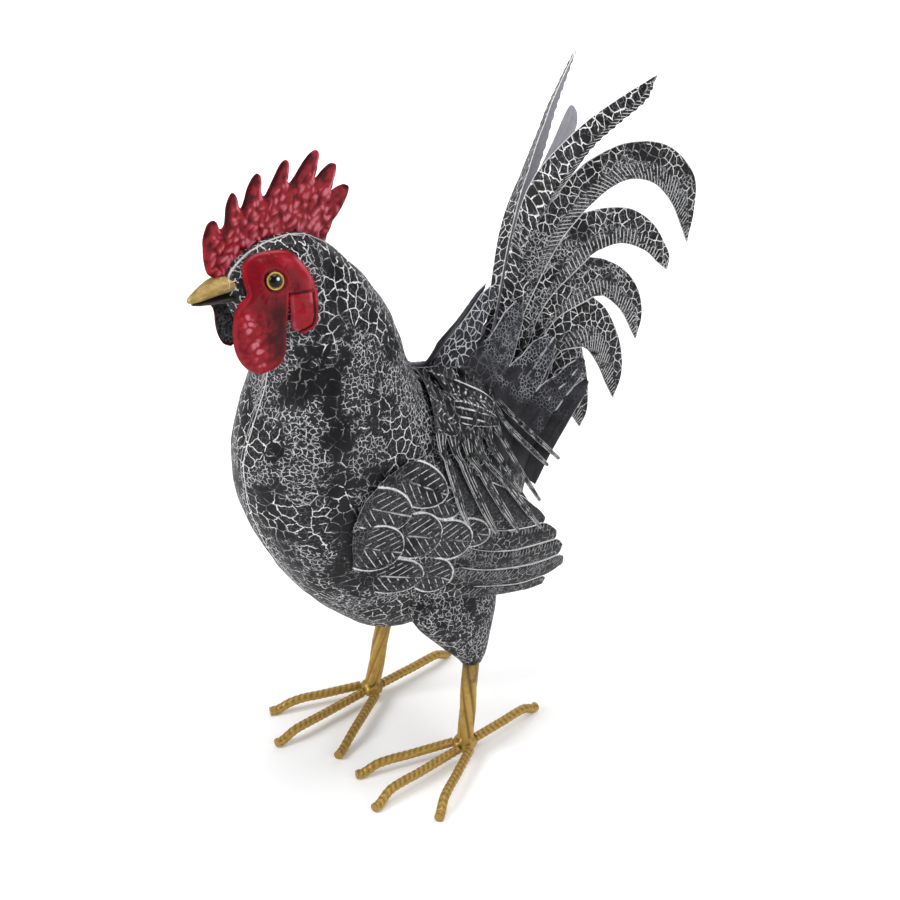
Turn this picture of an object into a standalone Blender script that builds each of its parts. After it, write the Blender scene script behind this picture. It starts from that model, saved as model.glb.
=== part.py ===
"""Standing metal rooster: a pressed sheet-steel bird on legs of twisted rod.

The bird faces -Y and stands on Z = 0. Its two halves are welded on a plane of constant X. The
left foot is turned out and the right foot in, so the toes reach further on the left, and the
whole bird is moved along X at the end to centre its box.
Free forms are drawn on a pattern grid of 370 units of height, 304 of length and 120 of width,
and the three driving sizes below stretch that grid. Sheet, rod and gap sizes are real sizes.
"""
import math

import bmesh
import bpy
import numpy as np
from mathutils import Matrix, Vector

# Driving dimensions, in metres
HEIGHT = 0.370            # floor to the top of the tail
LENGTH = 0.303            # beak tip to the rearmost tail feather
WIDTH = 0.120             # across the wings
SHEET = 0.0009            # pressed steel sheet of wings, face, saddle, coverts and tail
COMB_THICKNESS = 0.0034
LEG_DIAMETER = 0.0088     # bundle of twisted rods
TOE_ROD = 0.0051          # ribbed rod of a toe, across its flats
WELD_RADIUS = 0.0066      # blob of weld that joins four toes and a leg
EYE_RADIUS = 0.0047
EYE_DOME = 0.0024
GAP = 0.0004              # between pieces that touch

# Poses and proportions
PATTERN = np.array([120.0, 304.0, 370.0])
FEET = {"left": (38.6, -12.5), "right": (39.9, -18.8)}
LEG_TOP = (38.0, -8.0, 61.0)
# Root, bend and tip of each toe as (distance from the mirror plane, y)
TOES = {"left": {"inner": [(33.4, -17.6), (21.8, -61.5), (17.9, -75.0)],
                 "middle": [(41.0, -20.4), (45.1, -71.8), (48.3, -86.0)],
                 "outer": [(45.5, -15.0), (69.3, -53.6), (77.6, -64.6)],
                 "hind": [(38.4, -5.2), (34.0, 36.2), (32.2, 48.0)]},
        "right": {"inner": [(32.6, -21.8), (11.8, -54.8), (3.3, -72.0)],
                  "middle": [(39.6, -26.8), (34.8, -80.0), (35.8, -92.0)],
                  "outer": [(46.6, -22.6), (59.4, -61.0), (64.6, -76.0)],
                  "hind": [(40.0, -11.2), (44.0, 34.9), (46.3, 46.2)]}}
TOE_HEIGHTS = (0.0072, 0.0066, 0.0026)    # centre of a toe at its root, bend and tip
LEG_TWIST = math.radians(150)
LEG_STRANDS = 5
BODY_RINGS = 27           # faces of the solids
BODY_SIDES = 22
TAIL_SPREAD = 0.29        # how far a tail plate leans out for each unit towards the rear
TAIL_START = (8.7, 45.0)

# The body from the face to the rump: chest rail (y, z), back rail (y, z) and half width
BODY_STATIONS = [
    (-133, 299, -136, 304, 1), (-127, 287, -130, 315, 10), (-119, 273, -110, 324, 16),
    (-111, 258, -84, 321, 22), (-114, 242, -59, 301, 29), (-123, 224, -39, 273, 36),
    (-128, 204, -29, 245, 42), (-124, 175, -18, 227, 45), (-107, 140, -4, 223, 48),
    (-80, 106, 16, 217, 49), (-45, 82, 37, 201, 43), (-2, 84, 51, 186, 33),
    (31, 112, 58, 170, 20), (54, 148, 58, 157, 1)]

# Comb points as (y, z) on the mid-plane, front to rear: valleys lie between the spike tips
COMB_TIPS = [(-137, 338), (-125, 349), (-110, 355.5), (-93, 359), (-76, 360), (-66, 352), (-58, 339)]
COMB_VALLEYS = [(-132, 333), (-121, 341), (-107, 344.5), (-92, 348), (-78, 347), (-69, 339.5)]
COMB_FRONT = [(-137.5, 309.5), (-142.5, 316), (-143, 322), (-141, 330)]
COMB_REAR = [(-63, 330), (-70, 322.5)]

# Face plate edges as (y, z), from the forehead down
FACE_FRONT = [(-114, 320.5), (-121, 319.5), (-127, 316), (-129, 309), (-129, 303), (-135.5, 298),
              (-138, 287), (-137, 275), (-132, 266), (-125, 262)]
FACE_SLOT = [(-114, 320.5), (-111, 315), (-110, 308), (-109, 301)]
WATTLE_REAR = [(-110, 293), (-111.5, 281), (-112, 271), (-116, 264.5), (-125, 262)]
LOBE_FRONT = [(-108.5, 297), (-108, 290), (-108, 283), (-103.5, 279)]
LOBE_REAR = [(-114, 320.5), (-104, 319), (-97.5, 311), (-95, 302), (-95.5, 291), (-97.5, 283),
             (-103.5, 279)]
EYE_PLACE = (-116.0, 308.0)

# Wing seams as (y, z), from the front edge to the feather tips, upper edge first
WING_SEAMS = [
    [(-72, 201), (-56, 204), (-31, 195), (-9, 180), (11, 166), (22, 155)],
    [(-86, 190), (-53, 184), (-28, 166), (-7, 151), (18, 144), (28, 143)],
    [(-91, 173), (-54, 167), (-21, 144), (5, 134), (26, 130), (40, 127)],
    [(-90, 158), (-59, 151), (-31, 136), (-10, 127), (22, 118), (47, 113)],
    [(-86, 143), (-63, 136), (-33, 124), (-7, 115), (16, 107), (36, 103)],
    [(-74, 130), (-63, 125), (-43, 118), (-23, 112), (2, 105), (20, 100)]]
WING_TIPS = [(30, 148), (41, 134), (49, 121), (53.5, 107), (36, 98)]

# Tail seams in the tail plate's own plane as (run, z), root first. Each feather lies between its
# seam with the feather before and the seam with the one after, then runs free to its tip.
TAIL_SEAMS = [
    [(-12, 208), (-6, 232), (0, 258), (6, 290), (15, 317), (41, 344), (62, 358), (83, 369.9)],
    [(-9, 202), (-4, 233), (4, 268), (14, 294), (34, 319)],
    [(-5, 196), (4, 233), (16, 260), (30, 284), (43, 298)],
    [(0, 190), (11, 225), (22, 249), (48, 272)],
    [(5, 184), (16, 219), (28, 238), (51, 248)],
    [(10, 178), (22, 200), (31, 218), (45, 219)],
    [(15, 173), (25, 183), (32, 187)]]
TAIL_LEADING = [
    [],
    [(45, 327), (67, 334), (92, 330), (110, 311), (111, 290), (107, 272)],
    [(58, 299), (73, 296), (86, 286), (94, 273), (97, 265), (95, 258)],
    [(58, 269), (71, 260), (79, 247), (81, 232), (77, 219)],
    [(59, 240), (67, 223), (70, 207), (69, 196), (64, 185)],
    [(48, 205), (49, 192), (48, 179), (43, 171)]]
TAIL_TRAILING = [
    [(50, 336), (64, 346), (79, 357), (83, 369.9)],
    [(58, 309), (71, 313), (85, 309), (96, 297), (103, 282), (107, 272)],
    [(54, 275), (67, 277), (81, 271), (90, 262), (95, 258)],
    [(58, 247), (68, 237), (74, 225), (77, 219)],
    [(49, 216), (55, 206), (59, 196), (64, 185)],
    [(36, 185), (38, 180), (43, 171)]]
TAIL_JOINED = [0, 8, 7, 7, 7, 6, 4]      # rows of a feather that each seam joins
BROW_FOLD = [(0, 5.0), (0.2, 7.0), (0.45, 9.2), (0.62, 9.5), (0.74, 7.0), (0.87, 3.0), (1, 0.0)]
SEAM_FOLD = [(0, 2.5), (0.5, 2.5), (1, 0.0)]

# Covert feathers: (y, z) axis from root to tip, half widths at root, middle, shoulder and tip,
# and the rows in which each shares a seam with the next
COVERT_FEATHERS = [
    ([(8, 230), (22, 246.5), (37, 262.5)], (3.0, 5.0, 4.2, 1.2), 4),
    ([(9, 226), (27, 240), (46, 253)], (3.0, 5.0, 4.2, 1.2), 4),
    ([(12, 219), (38, 224), (67, 233)], (3.5, 7.0, 6.0, 2.0), 6),
    ([(15, 210), (46, 210), (81, 218)], (4.0, 6.5, 5.0, 1.8), 5),
    ([(18, 200), (48, 197), (83, 205)], (4.0, 6.0, 5.0, 1.8), 7),
    ([(21, 191), (44, 189), (67, 188)], (4.0, 6.0, 6.0, 6.0), 8),
    ([(23, 182), (37, 178), (53, 174)], (4.0, 6.0, 6.0, 6.0), 8),
    ([(24, 172), (31, 165), (40, 157)], (4.0, 6.0, 6.0, 6.0), 0)]

# Saddle feathers: (x, y, z) axis from the ridge of the back to the tip, then as above
SADDLE_FEATHERS = [
    ([(1, -22, 233), (22, -28, 222), (41, -35, 204), (58, -29, 163)], (3.0, 2.7, 1.5, 0.7), 4),
    ([(1, -18, 231), (24, -20, 216), (44, -26, 198), (60, -11, 153)], (3.0, 2.7, 1.5, 0.7), 4),
    ([(1, -14, 230), (24, -12, 212), (45, -17, 194), (61, 4, 149)], (3.0, 2.7, 1.5, 0.7), 4),
    ([(1, -10, 229), (23, -5, 210), (43, -8, 193), (60, 21, 145)], (3.0, 2.7, 1.5, 0.7), 4),
    ([(1, -7, 228.5), (21, 1, 211), (41, 1, 193), (50, 22, 154)], (2.6, 2.4, 1.4, 0.7), 4),
    ([(1, -4, 228), (19, 6, 212), (38, 9, 195), (46, 33, 152)], (2.6, 2.3, 1.4, 0.7), 4),
    ([(1, -1, 227.5), (16, 11, 214), (34, 18, 198), (42, 42, 169)], (2.6, 2.2, 1.3, 0.7), 4),
    ([(1, 2, 227), (13, 15, 217), (29, 25, 201), (41, 51, 170)], (2.6, 2.3, 1.3, 0.7), 0)]


def smooth_curve(points, count):
    """Cubic through the points, each tangent running parallel to the chord of its neighbours."""
    points = np.asarray(points, float)
    steps = np.linalg.norm(np.diff(points[:, :4], axis=0), axis=1)
    knots = np.concatenate([[0], np.cumsum(steps)]) / steps.sum()
    tangents = np.zeros_like(points)
    tangents[1:-1] = (points[2:] - points[:-2]) / (knots[2:] - knots[:-2])[:, None]
    tangents[0] = (points[1] - points[0]) / knots[1]
    tangents[-1] = (points[-1] - points[-2]) / (1 - knots[-2])
    where = np.linspace(0, 1, count)
    span = np.clip(np.searchsorted(knots, where, side="right") - 1, 0, len(knots) - 2)
    width = (knots[span + 1] - knots[span])[:, None]
    u = ((where - knots[span]) / width[:, 0])[:, None]
    return ((2 * u**3 - 3 * u**2 + 1) * points[span] + (u**3 - 2 * u**2 + u) * width * tangents[span]
            + (3 * u**2 - 2 * u**3) * points[span + 1] + (u**3 - u**2) * width * tangents[span + 1])


BODY_RAILS = smooth_curve(BODY_STATIONS, 240)


def body_half_width(y, z):
    """Half width of the body at pattern points (y, z), found on the chord that passes there."""
    chest, back, half = BODY_RAILS[:, :2], BODY_RAILS[:, 2:4], BODY_RAILS[:, 4]
    chord = back - chest
    offset = np.stack([np.ravel(y), np.ravel(z)], 1)[:, None, :] - chest[None]
    side = chord[None, :, 0] * offset[:, :, 1] - chord[None, :, 1] * offset[:, :, 0]
    share = (offset * chord[None]).sum(2) / (chord**2).sum(1)[None]
    crossed = (side[:, :-1] * side[:, 1:] <= 0) & (np.abs(share[:, :-1] - 0.5) < 0.52)
    gap = side[:, :-1] - side[:, 1:]
    mix = side[:, :-1] / np.where(np.abs(gap) < 1e-9, 1e-9, gap)
    share = share[:, :-1] * (1 - mix) + share[:, 1:] * mix
    half = half[None, :-1] * (1 - mix) + half[None, 1:] * mix
    reach = half * np.sqrt(np.clip(1 - (2 * share - 1) ** 2, 0, 1))
    return np.where(crossed, reach, 0).max(1).reshape(np.shape(y))


def larger(a, b, blend):
    """Soft maximum of two heights, rounded over the blend length."""
    return 0.5 * (a + b + np.sqrt((a - b) ** 2 + blend**2))


def to_metres(points):
    """Pattern points to metres."""
    return np.asarray(points, float) / PATTERN * np.array([WIDTH, LENGTH, HEIGHT])


def material(name, colour, roughness, metallic):
    """Principled finish of one sub-part."""
    made = bpy.data.materials.new(name)
    made.use_nodes = True
    shader = made.node_tree.nodes["Principled BSDF"]
    shader.inputs["Base Color"].default_value = (*colour, 1.0)
    shader.inputs["Roughness"].default_value = roughness
    shader.inputs["Metallic"].default_value = metallic
    return made


def add_object(name, bm, finish):
    """New object of the mesh, with outward faces and smooth shading below 35 degrees."""
    bm.normal_update()
    bmesh.ops.recalc_face_normals(bm, faces=bm.faces)
    mesh = bpy.data.meshes.new(name)
    bm.to_mesh(mesh)
    bm.free()
    mesh.shade_smooth()
    mesh.set_sharp_from_angle(angle=math.radians(35))
    made = bpy.data.objects.new(name, mesh)
    made.data.materials.append(finish)
    bpy.context.collection.objects.link(made)
    return made


def mirrored(points, side):
    """Points of the left side, or of the right side when side is -1."""
    return np.asarray(points) * np.array([side, 1.0, 1.0])


def loft(rings):
    """Closed bmesh through rings of points (metres), with a flat cap on each end ring."""
    bm = bmesh.new()
    loops = [[bm.verts.new(p) for p in ring] for ring in rings]
    for near, far in zip(loops[:-1], loops[1:]):
        for i in range(len(near)):
            j = (i + 1) % len(near)
            bm.faces.new((near[i], near[j], far[j], far[i]))
    bm.faces.new(loops[0])
    bm.faces.new(loops[-1])
    return bm


def boolean(target, cutter, operation):
    """Exact Boolean of the target with a hidden cutter."""
    cutter.hide_render = True
    cutter.display_type = "WIRE"
    step = target.modifiers.new(operation.lower(), "BOOLEAN")
    step.operation = operation
    step.solver = "EXACT"
    step.object = cutter


def body_rings(rings, sides, offset=0.0):
    """Elliptic sections of the body, pushed out by the offset in metres."""
    rails = smooth_curve(BODY_STATIONS, rings)
    angle = np.linspace(0, 2 * np.pi, sides, endpoint=False)
    middle = (rails[:, :2] + rails[:, 2:4]) / 2
    reach = (rails[:, :2] - rails[:, 2:4]) / 2
    points = np.zeros((rings, sides, 3))
    points[:, :, 0] = rails[:, 4, None] * np.sin(angle)
    points[:, :, 1:] = middle[:, None] + reach[:, None] * np.cos(angle)[None, :, None]
    points = to_metres(points)
    along = np.gradient(points, axis=0)
    around = np.roll(points, -1, axis=1) - np.roll(points, 1, axis=1)
    normal = np.cross(around, along)
    normal /= np.maximum(np.linalg.norm(normal, axis=2, keepdims=True), 1e-12)
    outward = np.sign((normal * (points - points.mean(axis=1, keepdims=True))).sum(2).mean())
    return points + outward * normal * offset


def sheet(name, strips, finish, side, lift):
    """Pressed sheet: strips of surface welded along shared seams, then thickened outwards.

    Each strip is an array (rows, columns, 3) in metres on the bird's left side. lift raises the
    sheet from the surface below it.
    """
    bm = bmesh.new()
    for strip in strips:
        grid = [[bm.verts.new(p) for p in row] for row in mirrored(strip, side)]
        for i in range(len(grid) - 1):
            for j in range(len(grid[0]) - 1):
                bm.faces.new((grid[i][j], grid[i][j + 1], grid[i + 1][j + 1], grid[i + 1][j]))
    bmesh.ops.remove_doubles(bm, verts=bm.verts, dist=0.00005)
    bm.normal_update()
    if side * sum(face.normal.x * face.calc_area() for face in bm.faces) < 0:
        bmesh.ops.reverse_faces(bm, faces=bm.faces)
        bm.normal_update()
    for vertex in bm.verts:
        vertex.co += vertex.normal * lift
    mesh = bpy.data.meshes.new(name)
    bm.to_mesh(mesh)
    bm.free()
    made = bpy.data.objects.new(name, mesh)
    made.data.materials.append(finish)
    bpy.context.collection.objects.link(made)
    wall = made.modifiers.new("sheet", "SOLIDIFY")
    wall.thickness = SHEET
    wall.offset = 1.0
    return made


def strip_between(left, right, crest):
    """Roofed strip: two edges (rows, 3) and a crest line raised by crest (rows) in pattern units."""
    ridge = (left + right) / 2
    ridge = ridge + np.array([1.0, 0.0, 0.0]) * crest[:, None]
    return to_metres(np.stack([left, ridge, right], axis=1))


def side_points(outline, surface):
    """(y, z) points lifted onto a surface x = surface(y, z)."""
    outline = np.asarray(outline, float)
    return np.column_stack([surface(outline[:, 0], outline[:, 1]), outline])


def face_surface(y, z):
    """The face plate hugs the cheek, leans in over the brow and hangs free below the beak."""
    hanging = 16.1 + 0.21 * (y + 123) - 0.45 * np.clip(z - 298, 0, None)
    return larger(hanging, body_half_width(y, z) + 1.1, 1.5)


def wing_surface(y, z):
    """The wing is a shallow dish that leans on the flank."""
    dish = 54.9 - 0.0024 * (y - 8) ** 2 - 0.003 * (z - 150) ** 2
    return larger(body_half_width(y, z) + 1.2, dish, 3.0)


def covert_surface(y, z):
    """The covert sheet stands near the mid-plane at its top edge and leans out below it."""
    below_top = (229 - z + y) / math.sqrt(2)
    lean = 0.6 + 0.41 * below_top + 3.0 * (1 - np.exp(-np.clip(below_top, 0, None) / 4))
    lean = larger(lean, 0.6, 0.8)
    return larger(lean, body_half_width(y, z) + 1.6, 2.0)


def over_covert(y, z):
    """Least x of a saddle feather: it lies over the body and the covert sheet."""
    floor = body_half_width(y, z) + 3.1
    on_covert = np.clip((y + 2) / 8, 0, 1)
    return floor + on_covert * np.clip(covert_surface(y, z) + 5.8 - floor, 0, None)


def over_wing(y, z):
    """Least x of a saddle feather that also lies over the top of the wing."""
    top = np.interp(y, *np.array(WING_SEAMS[0], float).T)
    wing = wing_surface(y, np.minimum(z, top)) + 2.8 - 1.2 * np.clip(z - top - 2, 0, None)
    return np.maximum(over_covert(y, z), wing)


def tail_point(run, z, fold):
    """A point of the tail plate: run along its slant, sunk by the fold towards the mid-plane."""
    slant = math.atan(TAIL_SPREAD)
    y = TAIL_START[1] + run * math.cos(slant)
    x = TAIL_START[0] + run * math.sin(slant) - fold
    return np.stack([larger(x, body_half_width(y, z) + 0.8, 1.0), y, z], axis=-1)


def make_body(finish):
    """Breast, neck, head and rump, as one sealed shell."""
    return add_object("body", loft(body_rings(BODY_RINGS, BODY_SIDES)), finish)


def comb_outline():
    """Outline of the comb from its front foot over the spikes and back along the head."""
    points = list(COMB_FRONT)
    spans = [COMB_FRONT[-1]] + COMB_VALLEYS + [COMB_REAR[0]]
    for index, tip in enumerate(COMB_TIPS):
        before, after = np.array(spans[index]), np.array(spans[index + 1])
        tip = np.array(tip, float)
        points.append(0.3 * before + 0.7 * tip + 0.10 * (tip - after))
        points.append(tip + 0.04 * (tip - after))
        points.append(0.2 * after + 0.8 * tip)
        points.append(after)
    points.append(COMB_REAR[1])
    back = BODY_RAILS[:, 2:4]
    crown = back[(back[:, 0] > -134.5) & (back[:, 0] < -73)][::-6]
    rise = GAP / HEIGHT * PATTERN[2] * 1.5
    points += [p + np.array([0.0, rise]) for p in crown]
    return np.array([np.asarray(p, float) for p in points])


def inset_outline(outline, distance):
    """Outline drawn in along its corner bisectors, no further than a share of each corner."""
    ahead = np.roll(outline, -1, axis=0) - outline
    behind = outline - np.roll(outline, 1, axis=0)
    ahead /= np.linalg.norm(ahead, axis=1, keepdims=True)
    behind /= np.linalg.norm(behind, axis=1, keepdims=True)
    area = np.sum(outline[:, 0] * np.roll(outline[:, 1], -1) - np.roll(outline[:, 0], -1) * outline[:, 1])
    turn = 1.0 if area > 0 else -1.0
    normal = (ahead + behind)[:, ::-1] * np.array([-turn, turn])
    normal /= np.maximum(np.linalg.norm(normal, axis=1, keepdims=True), 1e-9)
    mitre = 1 / np.maximum((normal * (ahead[:, ::-1] * np.array([-turn, turn]))).sum(1), 0.45)
    return outline + normal * distance * np.minimum(mitre, 2.0)[:, None]


def make_comb(finish):
    """Comb: one thick plate on the mid-plane, its rim rounded off on both faces."""
    outline = comb_outline()
    rim_inset = 0.9
    half = COMB_THICKNESS / 2
    inner = inset_outline(outline, rim_inset)
    bm = bmesh.new()

    def ring(points, x):
        places = to_metres(np.column_stack([np.zeros(len(points)), points]))
        return [bm.verts.new((x, p[1], p[2])) for p in places]

    rings = [ring(inner, -half), ring(outline, -half * 0.5), ring(outline, half * 0.5), ring(inner, half)]
    for near, far in zip(rings[:-1], rings[1:]):
        for i in range(len(near)):
            j = (i + 1) % len(near)
            bm.faces.new((near[i], near[j], far[j], far[i]))
    caps = [bm.faces.new(rings[0]), bm.faces.new(rings[-1])]
    bmesh.ops.triangulate(bm, faces=caps)
    return add_object("comb", bm, finish)


def beak_half(name, sections, sides, finish, cutter):
    """One mandible: flattened oval sections (y, z, half width, half height), cut by the head."""
    angle = np.linspace(0, 2 * np.pi, sides, endpoint=False)
    rings = []
    for y, z, wide, high in sections:
        ring = np.column_stack([wide * np.cos(angle), np.full(sides, y), z + high * np.sin(angle)])
        rings.append(to_metres(ring))
    made = add_object(name, loft(rings), finish)
    boolean(made, cutter, "DIFFERENCE")
    return made


def make_beak(finish, cutter):
    """Upper and lower mandible, with the slit of the mouth between them."""
    upper = [(-129, 305.4, 7.8, 3.4), (-136, 305.4, 7.4, 3.5), (-141.5, 305.6, 6.0, 3.2),
             (-147, 304.6, 3.6, 2.4), (-151, 302.6, 1.6, 1.1), (-152, 301.8, 0.7, 0.5)]
    lower = [(-128, 299.6, 7.0, 1.5), (-136, 299.9, 6.0, 1.5), (-143, 300.2, 3.8, 1.1),
             (-148.5, 300.4, 1.5, 0.7)]
    beak_half("beak_upper", upper, 10, finish, cutter)
    beak_half("beak_lower", lower, 8, finish, cutter)


def make_face(finish, side, word):
    """Face plate: brow and wattle in one strip, ear lobe in a second that parts at the slot."""
    rows_joined, rows_free = 4, 8
    front = side_points(smooth_curve(FACE_FRONT, rows_joined + rows_free), face_surface)
    slot = smooth_curve(FACE_SLOT, rows_joined)
    rear = smooth_curve([FACE_SLOT[-1]] + WATTLE_REAR, rows_free + 1)[1:]
    lobe = smooth_curve([FACE_SLOT[-1]] + LOBE_FRONT, rows_free + 1)[1:]
    middle = side_points(np.concatenate([slot, rear]), face_surface)
    lobe_front = side_points(np.concatenate([slot, lobe]), face_surface)
    lobe_rear = side_points(smooth_curve(LOBE_REAR, rows_joined + rows_free), face_surface)
    share = np.linspace(0, 1, rows_joined + rows_free)
    bulge = 1.4 * np.sin(np.pi * share) + 1.2 * np.clip(np.sin(np.pi * (share - 0.45) / 0.55), 0, 1)
    main = []
    for mix in (0, 0.25, 0.5, 0.75, 1):
        line = side_points((front + (middle - front) * mix)[:, 1:], face_surface)
        line[:, 0] += bulge * math.sin(math.pi * mix)
        main.append(line)
    main[0], main[-1] = front, middle
    lobe_bulge = 0.8 * np.sin(np.pi * share)
    centre = side_points(((lobe_front + lobe_rear) / 2)[:, 1:], face_surface)
    centre[:, 0] += lobe_bulge
    strips = [to_metres(np.stack(main, axis=1)),
              to_metres(np.stack([lobe_front, centre, lobe_rear], axis=1))]
    return sheet(f"face_plate_{word}", strips, finish, side, GAP)


def make_eye(finish, side, word):
    """Glass-like dome of the eye, seated on the face plate."""
    y, z = EYE_PLACE
    step = 1.0
    corners = side_points([(y, z), (y + step, z), (y, z + step)], face_surface)
    place, along, up = to_metres(corners)
    normal = np.cross(along - place, up - place)
    normal /= np.linalg.norm(normal)
    normal *= np.sign(normal[0])
    bulge_height = 1.2 / PATTERN[0] * WIDTH
    seat = place + np.array([bulge_height, 0, 0]) + normal * (SHEET + 2 * GAP)
    bm = bmesh.new()
    bmesh.ops.create_uvsphere(bm, u_segments=12, v_segments=6, radius=1.0)
    below = [v for v in bm.verts if v.co.z < -1e-4]
    bmesh.ops.delete(bm, geom=below, context="VERTS")
    rim = [e for e in bm.edges if e.is_boundary]
    bmesh.ops.contextual_create(bm, geom=rim)
    turn = Vector(normal).to_track_quat("Z", "Y").to_matrix().to_4x4()
    shape = Matrix.Diagonal((EYE_RADIUS, EYE_RADIUS, EYE_DOME, 1.0))
    bmesh.ops.transform(bm, matrix=Matrix.Translation(Vector(seat)) @ turn @ shape, verts=bm.verts)
    for vertex in bm.verts:
        vertex.co.x *= side
    return add_object(f"eye_{word}", bm, finish)


def make_wing(finish, side, word):
    """Wing plate: five long feathers side by side, each with a rounded tip of its own."""
    rows, tip_rows = 10, 2
    seams = [side_points(smooth_curve(seam, rows), wing_surface) for seam in WING_SEAMS]
    strips = []
    for index, tip in enumerate(WING_TIPS):
        upper, lower = seams[index], seams[index + 1]
        tip = side_points([tip], wing_surface)[0]
        ends = (upper[-1] + lower[-1]) / 2
        edges = []
        for seam in (upper, lower):
            shoulder = seam[-1] + 0.6 * (tip - ends) - 0.15 * (seam[-1] - ends)
            edges.append(np.vstack([seam, shoulder, tip]))
        share = np.linspace(0, 1, rows + tip_rows)
        crest = 1.1 * np.sqrt(np.sin(np.pi * np.clip(share, 0, 1)))
        strips.append(strip_between(edges[0], edges[1], crest))
    return sheet(f"wing_{word}", strips, finish, side, GAP)


def joined_edge(seam, free, joined, rows):
    """Edge of a tail feather: its seam in the joined rows, then its free edge to the tip."""
    if not joined:
        return smooth_curve(list(seam) + list(free), rows)
    return np.concatenate([smooth_curve(seam, joined),
                           smooth_curve([seam[-1]] + list(free), rows - joined + 1)[1:]])


def make_tail(finish, side, word):
    """Tail plate: six sickle feathers that share seams near the root and then sweep free."""
    rows = 14
    share = np.linspace(0, 1, rows)
    seam_fold = np.interp(share, *np.array(SEAM_FOLD).T)
    brow_fold = np.interp(share, *np.array(BROW_FOLD).T)
    strips = []
    for index in range(len(TAIL_LEADING)):
        first = joined_edge(TAIL_SEAMS[index], TAIL_LEADING[index], TAIL_JOINED[index], rows)
        last = joined_edge(TAIL_SEAMS[index + 1], TAIL_TRAILING[index], TAIL_JOINED[index + 1], rows)
        ridge = (first + last) / 2
        first = tail_point(first[:, 0], first[:, 1], seam_fold if index else brow_fold)
        last = tail_point(last[:, 0], last[:, 1], seam_fold)
        ridge = tail_point(ridge[:, 0], ridge[:, 1], np.interp(share, (0, 0.4), (3, 0)))
        first[-1] = last[-1] = ridge[-1]
        strips.append(to_metres(np.stack([first, ridge, last], axis=1)))
    return sheet(f"tail_plate_{word}", strips, finish, side, GAP)


def fan(axes, feathers, floors, crest):
    """Fan of roofed feathers that share seams in their joined rows and end as free fingers.

    axes holds each feather's axis (feathers, rows, 3), and floors gives for each feather the
    function (y, z) that is the least x allowed.
    """
    along = np.gradient(axes, axis=1)
    across = np.gradient(axes, axis=0)
    across -= (across * along).sum(2, keepdims=True) * along / (along**2).sum(2, keepdims=True)
    across /= np.linalg.norm(across, axis=2, keepdims=True)
    seams = (axes[:-1] + axes[1:]) / 2
    rows = axes.shape[1]
    strips = []
    for index, (_, widths, joined) in enumerate(feathers):
        half = np.interp(tip_share(rows), (0, 0.5, 0.9, 1), widths)[:, None]
        first = axes[index] - across[index] * half
        last = axes[index] + across[index] * half
        if index:
            shared = feathers[index - 1][2]
            first[:shared] = seams[index - 1, :shared]
        last[:joined] = seams[index, :joined] if joined else last[:joined]
        lines = [first, axes[index].copy(), last]
        for line in lines:
            line[:, 0] = larger(line[:, 0], floors[index](line[:, 1], line[:, 2]), 0.6)
        lines[1][:, 0] += crest * np.sin(np.pi * np.linspace(0.1, 1, rows))
        strips.append(to_metres(np.stack(lines, axis=1)))
    return strips


def tip_share(rows):
    """Shares of a feather's length at its rows, closer together towards the tip."""
    return np.sin(np.linspace(0, math.pi / 2, rows))


def feather_axes(feathers, rows):
    """Axis of every feather at the shares of tip_share."""
    fine = 80
    lines = np.stack([smooth_curve(points, fine) for points, _, _ in feathers])
    where = np.round(tip_share(rows) * (fine - 1)).astype(int)
    return lines[:, where]


def make_covert(finish, side, word):
    """Tail covert: a plain sheet with five finger feathers and a straight rear edge below them."""
    flat = feather_axes(COVERT_FEATHERS, 8)
    axes = np.concatenate([covert_surface(flat[..., 0], flat[..., 1])[..., None], flat], axis=-1)
    strips = fan(axes, COVERT_FEATHERS, [covert_surface] * len(COVERT_FEATHERS), 0.8)
    return sheet(f"tail_covert_{word}", strips, finish, side, GAP)


def make_saddle(finish, side, word):
    """Saddle: feathers that start at the ridge of the back and end as fingers over the wing."""
    axes = feather_axes(SADDLE_FEATHERS, 9)
    floors = [over_wing] * 4 + [over_covert] * 4
    return sheet(f"saddle_{word}", fan(axes, SADDLE_FEATHERS, floors, 0.8), finish, side, GAP)


def make_thigh(finish, side, word, cutter):
    """Thigh: a sheet cone that widens from the leg into the belly, cut to the body's skin."""
    sides = 14
    angle = np.linspace(0, 2 * np.pi, sides, endpoint=False)
    foot_x, foot_y, foot_z = LEG_TOP
    sections = [(foot_x, foot_y, foot_z, 5.8, 6.0), (foot_x, foot_y - 0.5, foot_z + 5, 7.4, 9.5),
                (36.5, -12, 78, 10.5, 17.5), (34.5, -16, 93, 13.5, 26.5), (31, -17, 107, 14.5, 31),
                (26, -14, 124, 14, 30)]
    rings = []
    for x, y, z, wide, long in sections:
        ring = np.column_stack([x + wide * np.cos(angle), y + long * np.sin(angle), np.full(sides, z)])
        rings.append(mirrored(to_metres(ring), side))
    made = add_object(f"thigh_{word}", loft(rings), finish)
    boolean(made, cutter, "DIFFERENCE")
    return made


def rod_rings(path, radius, turn):
    """Rings of a rod along a path (rows, 3): radius(angle) is its section, turned row by row."""
    along = np.gradient(path, axis=0)
    along /= np.linalg.norm(along, axis=1, keepdims=True)
    reference = np.array([0.0, 0.0, 1.0]) if abs(along[0][2]) < 0.7 else np.array([0.0, 1.0, 0.0])
    level = np.cross(along, reference)
    level /= np.linalg.norm(level, axis=1, keepdims=True)
    upright = np.cross(level, along)
    angle = np.linspace(0, 2 * np.pi, len(radius), endpoint=False)
    rings = []
    for row, centre in enumerate(path):
        spun = angle + turn[row]
        rings.append(centre + radius[:, None] * (np.cos(spun)[:, None] * level[row]
                                                 + np.sin(spun)[:, None] * upright[row]))
    return rings


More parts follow.
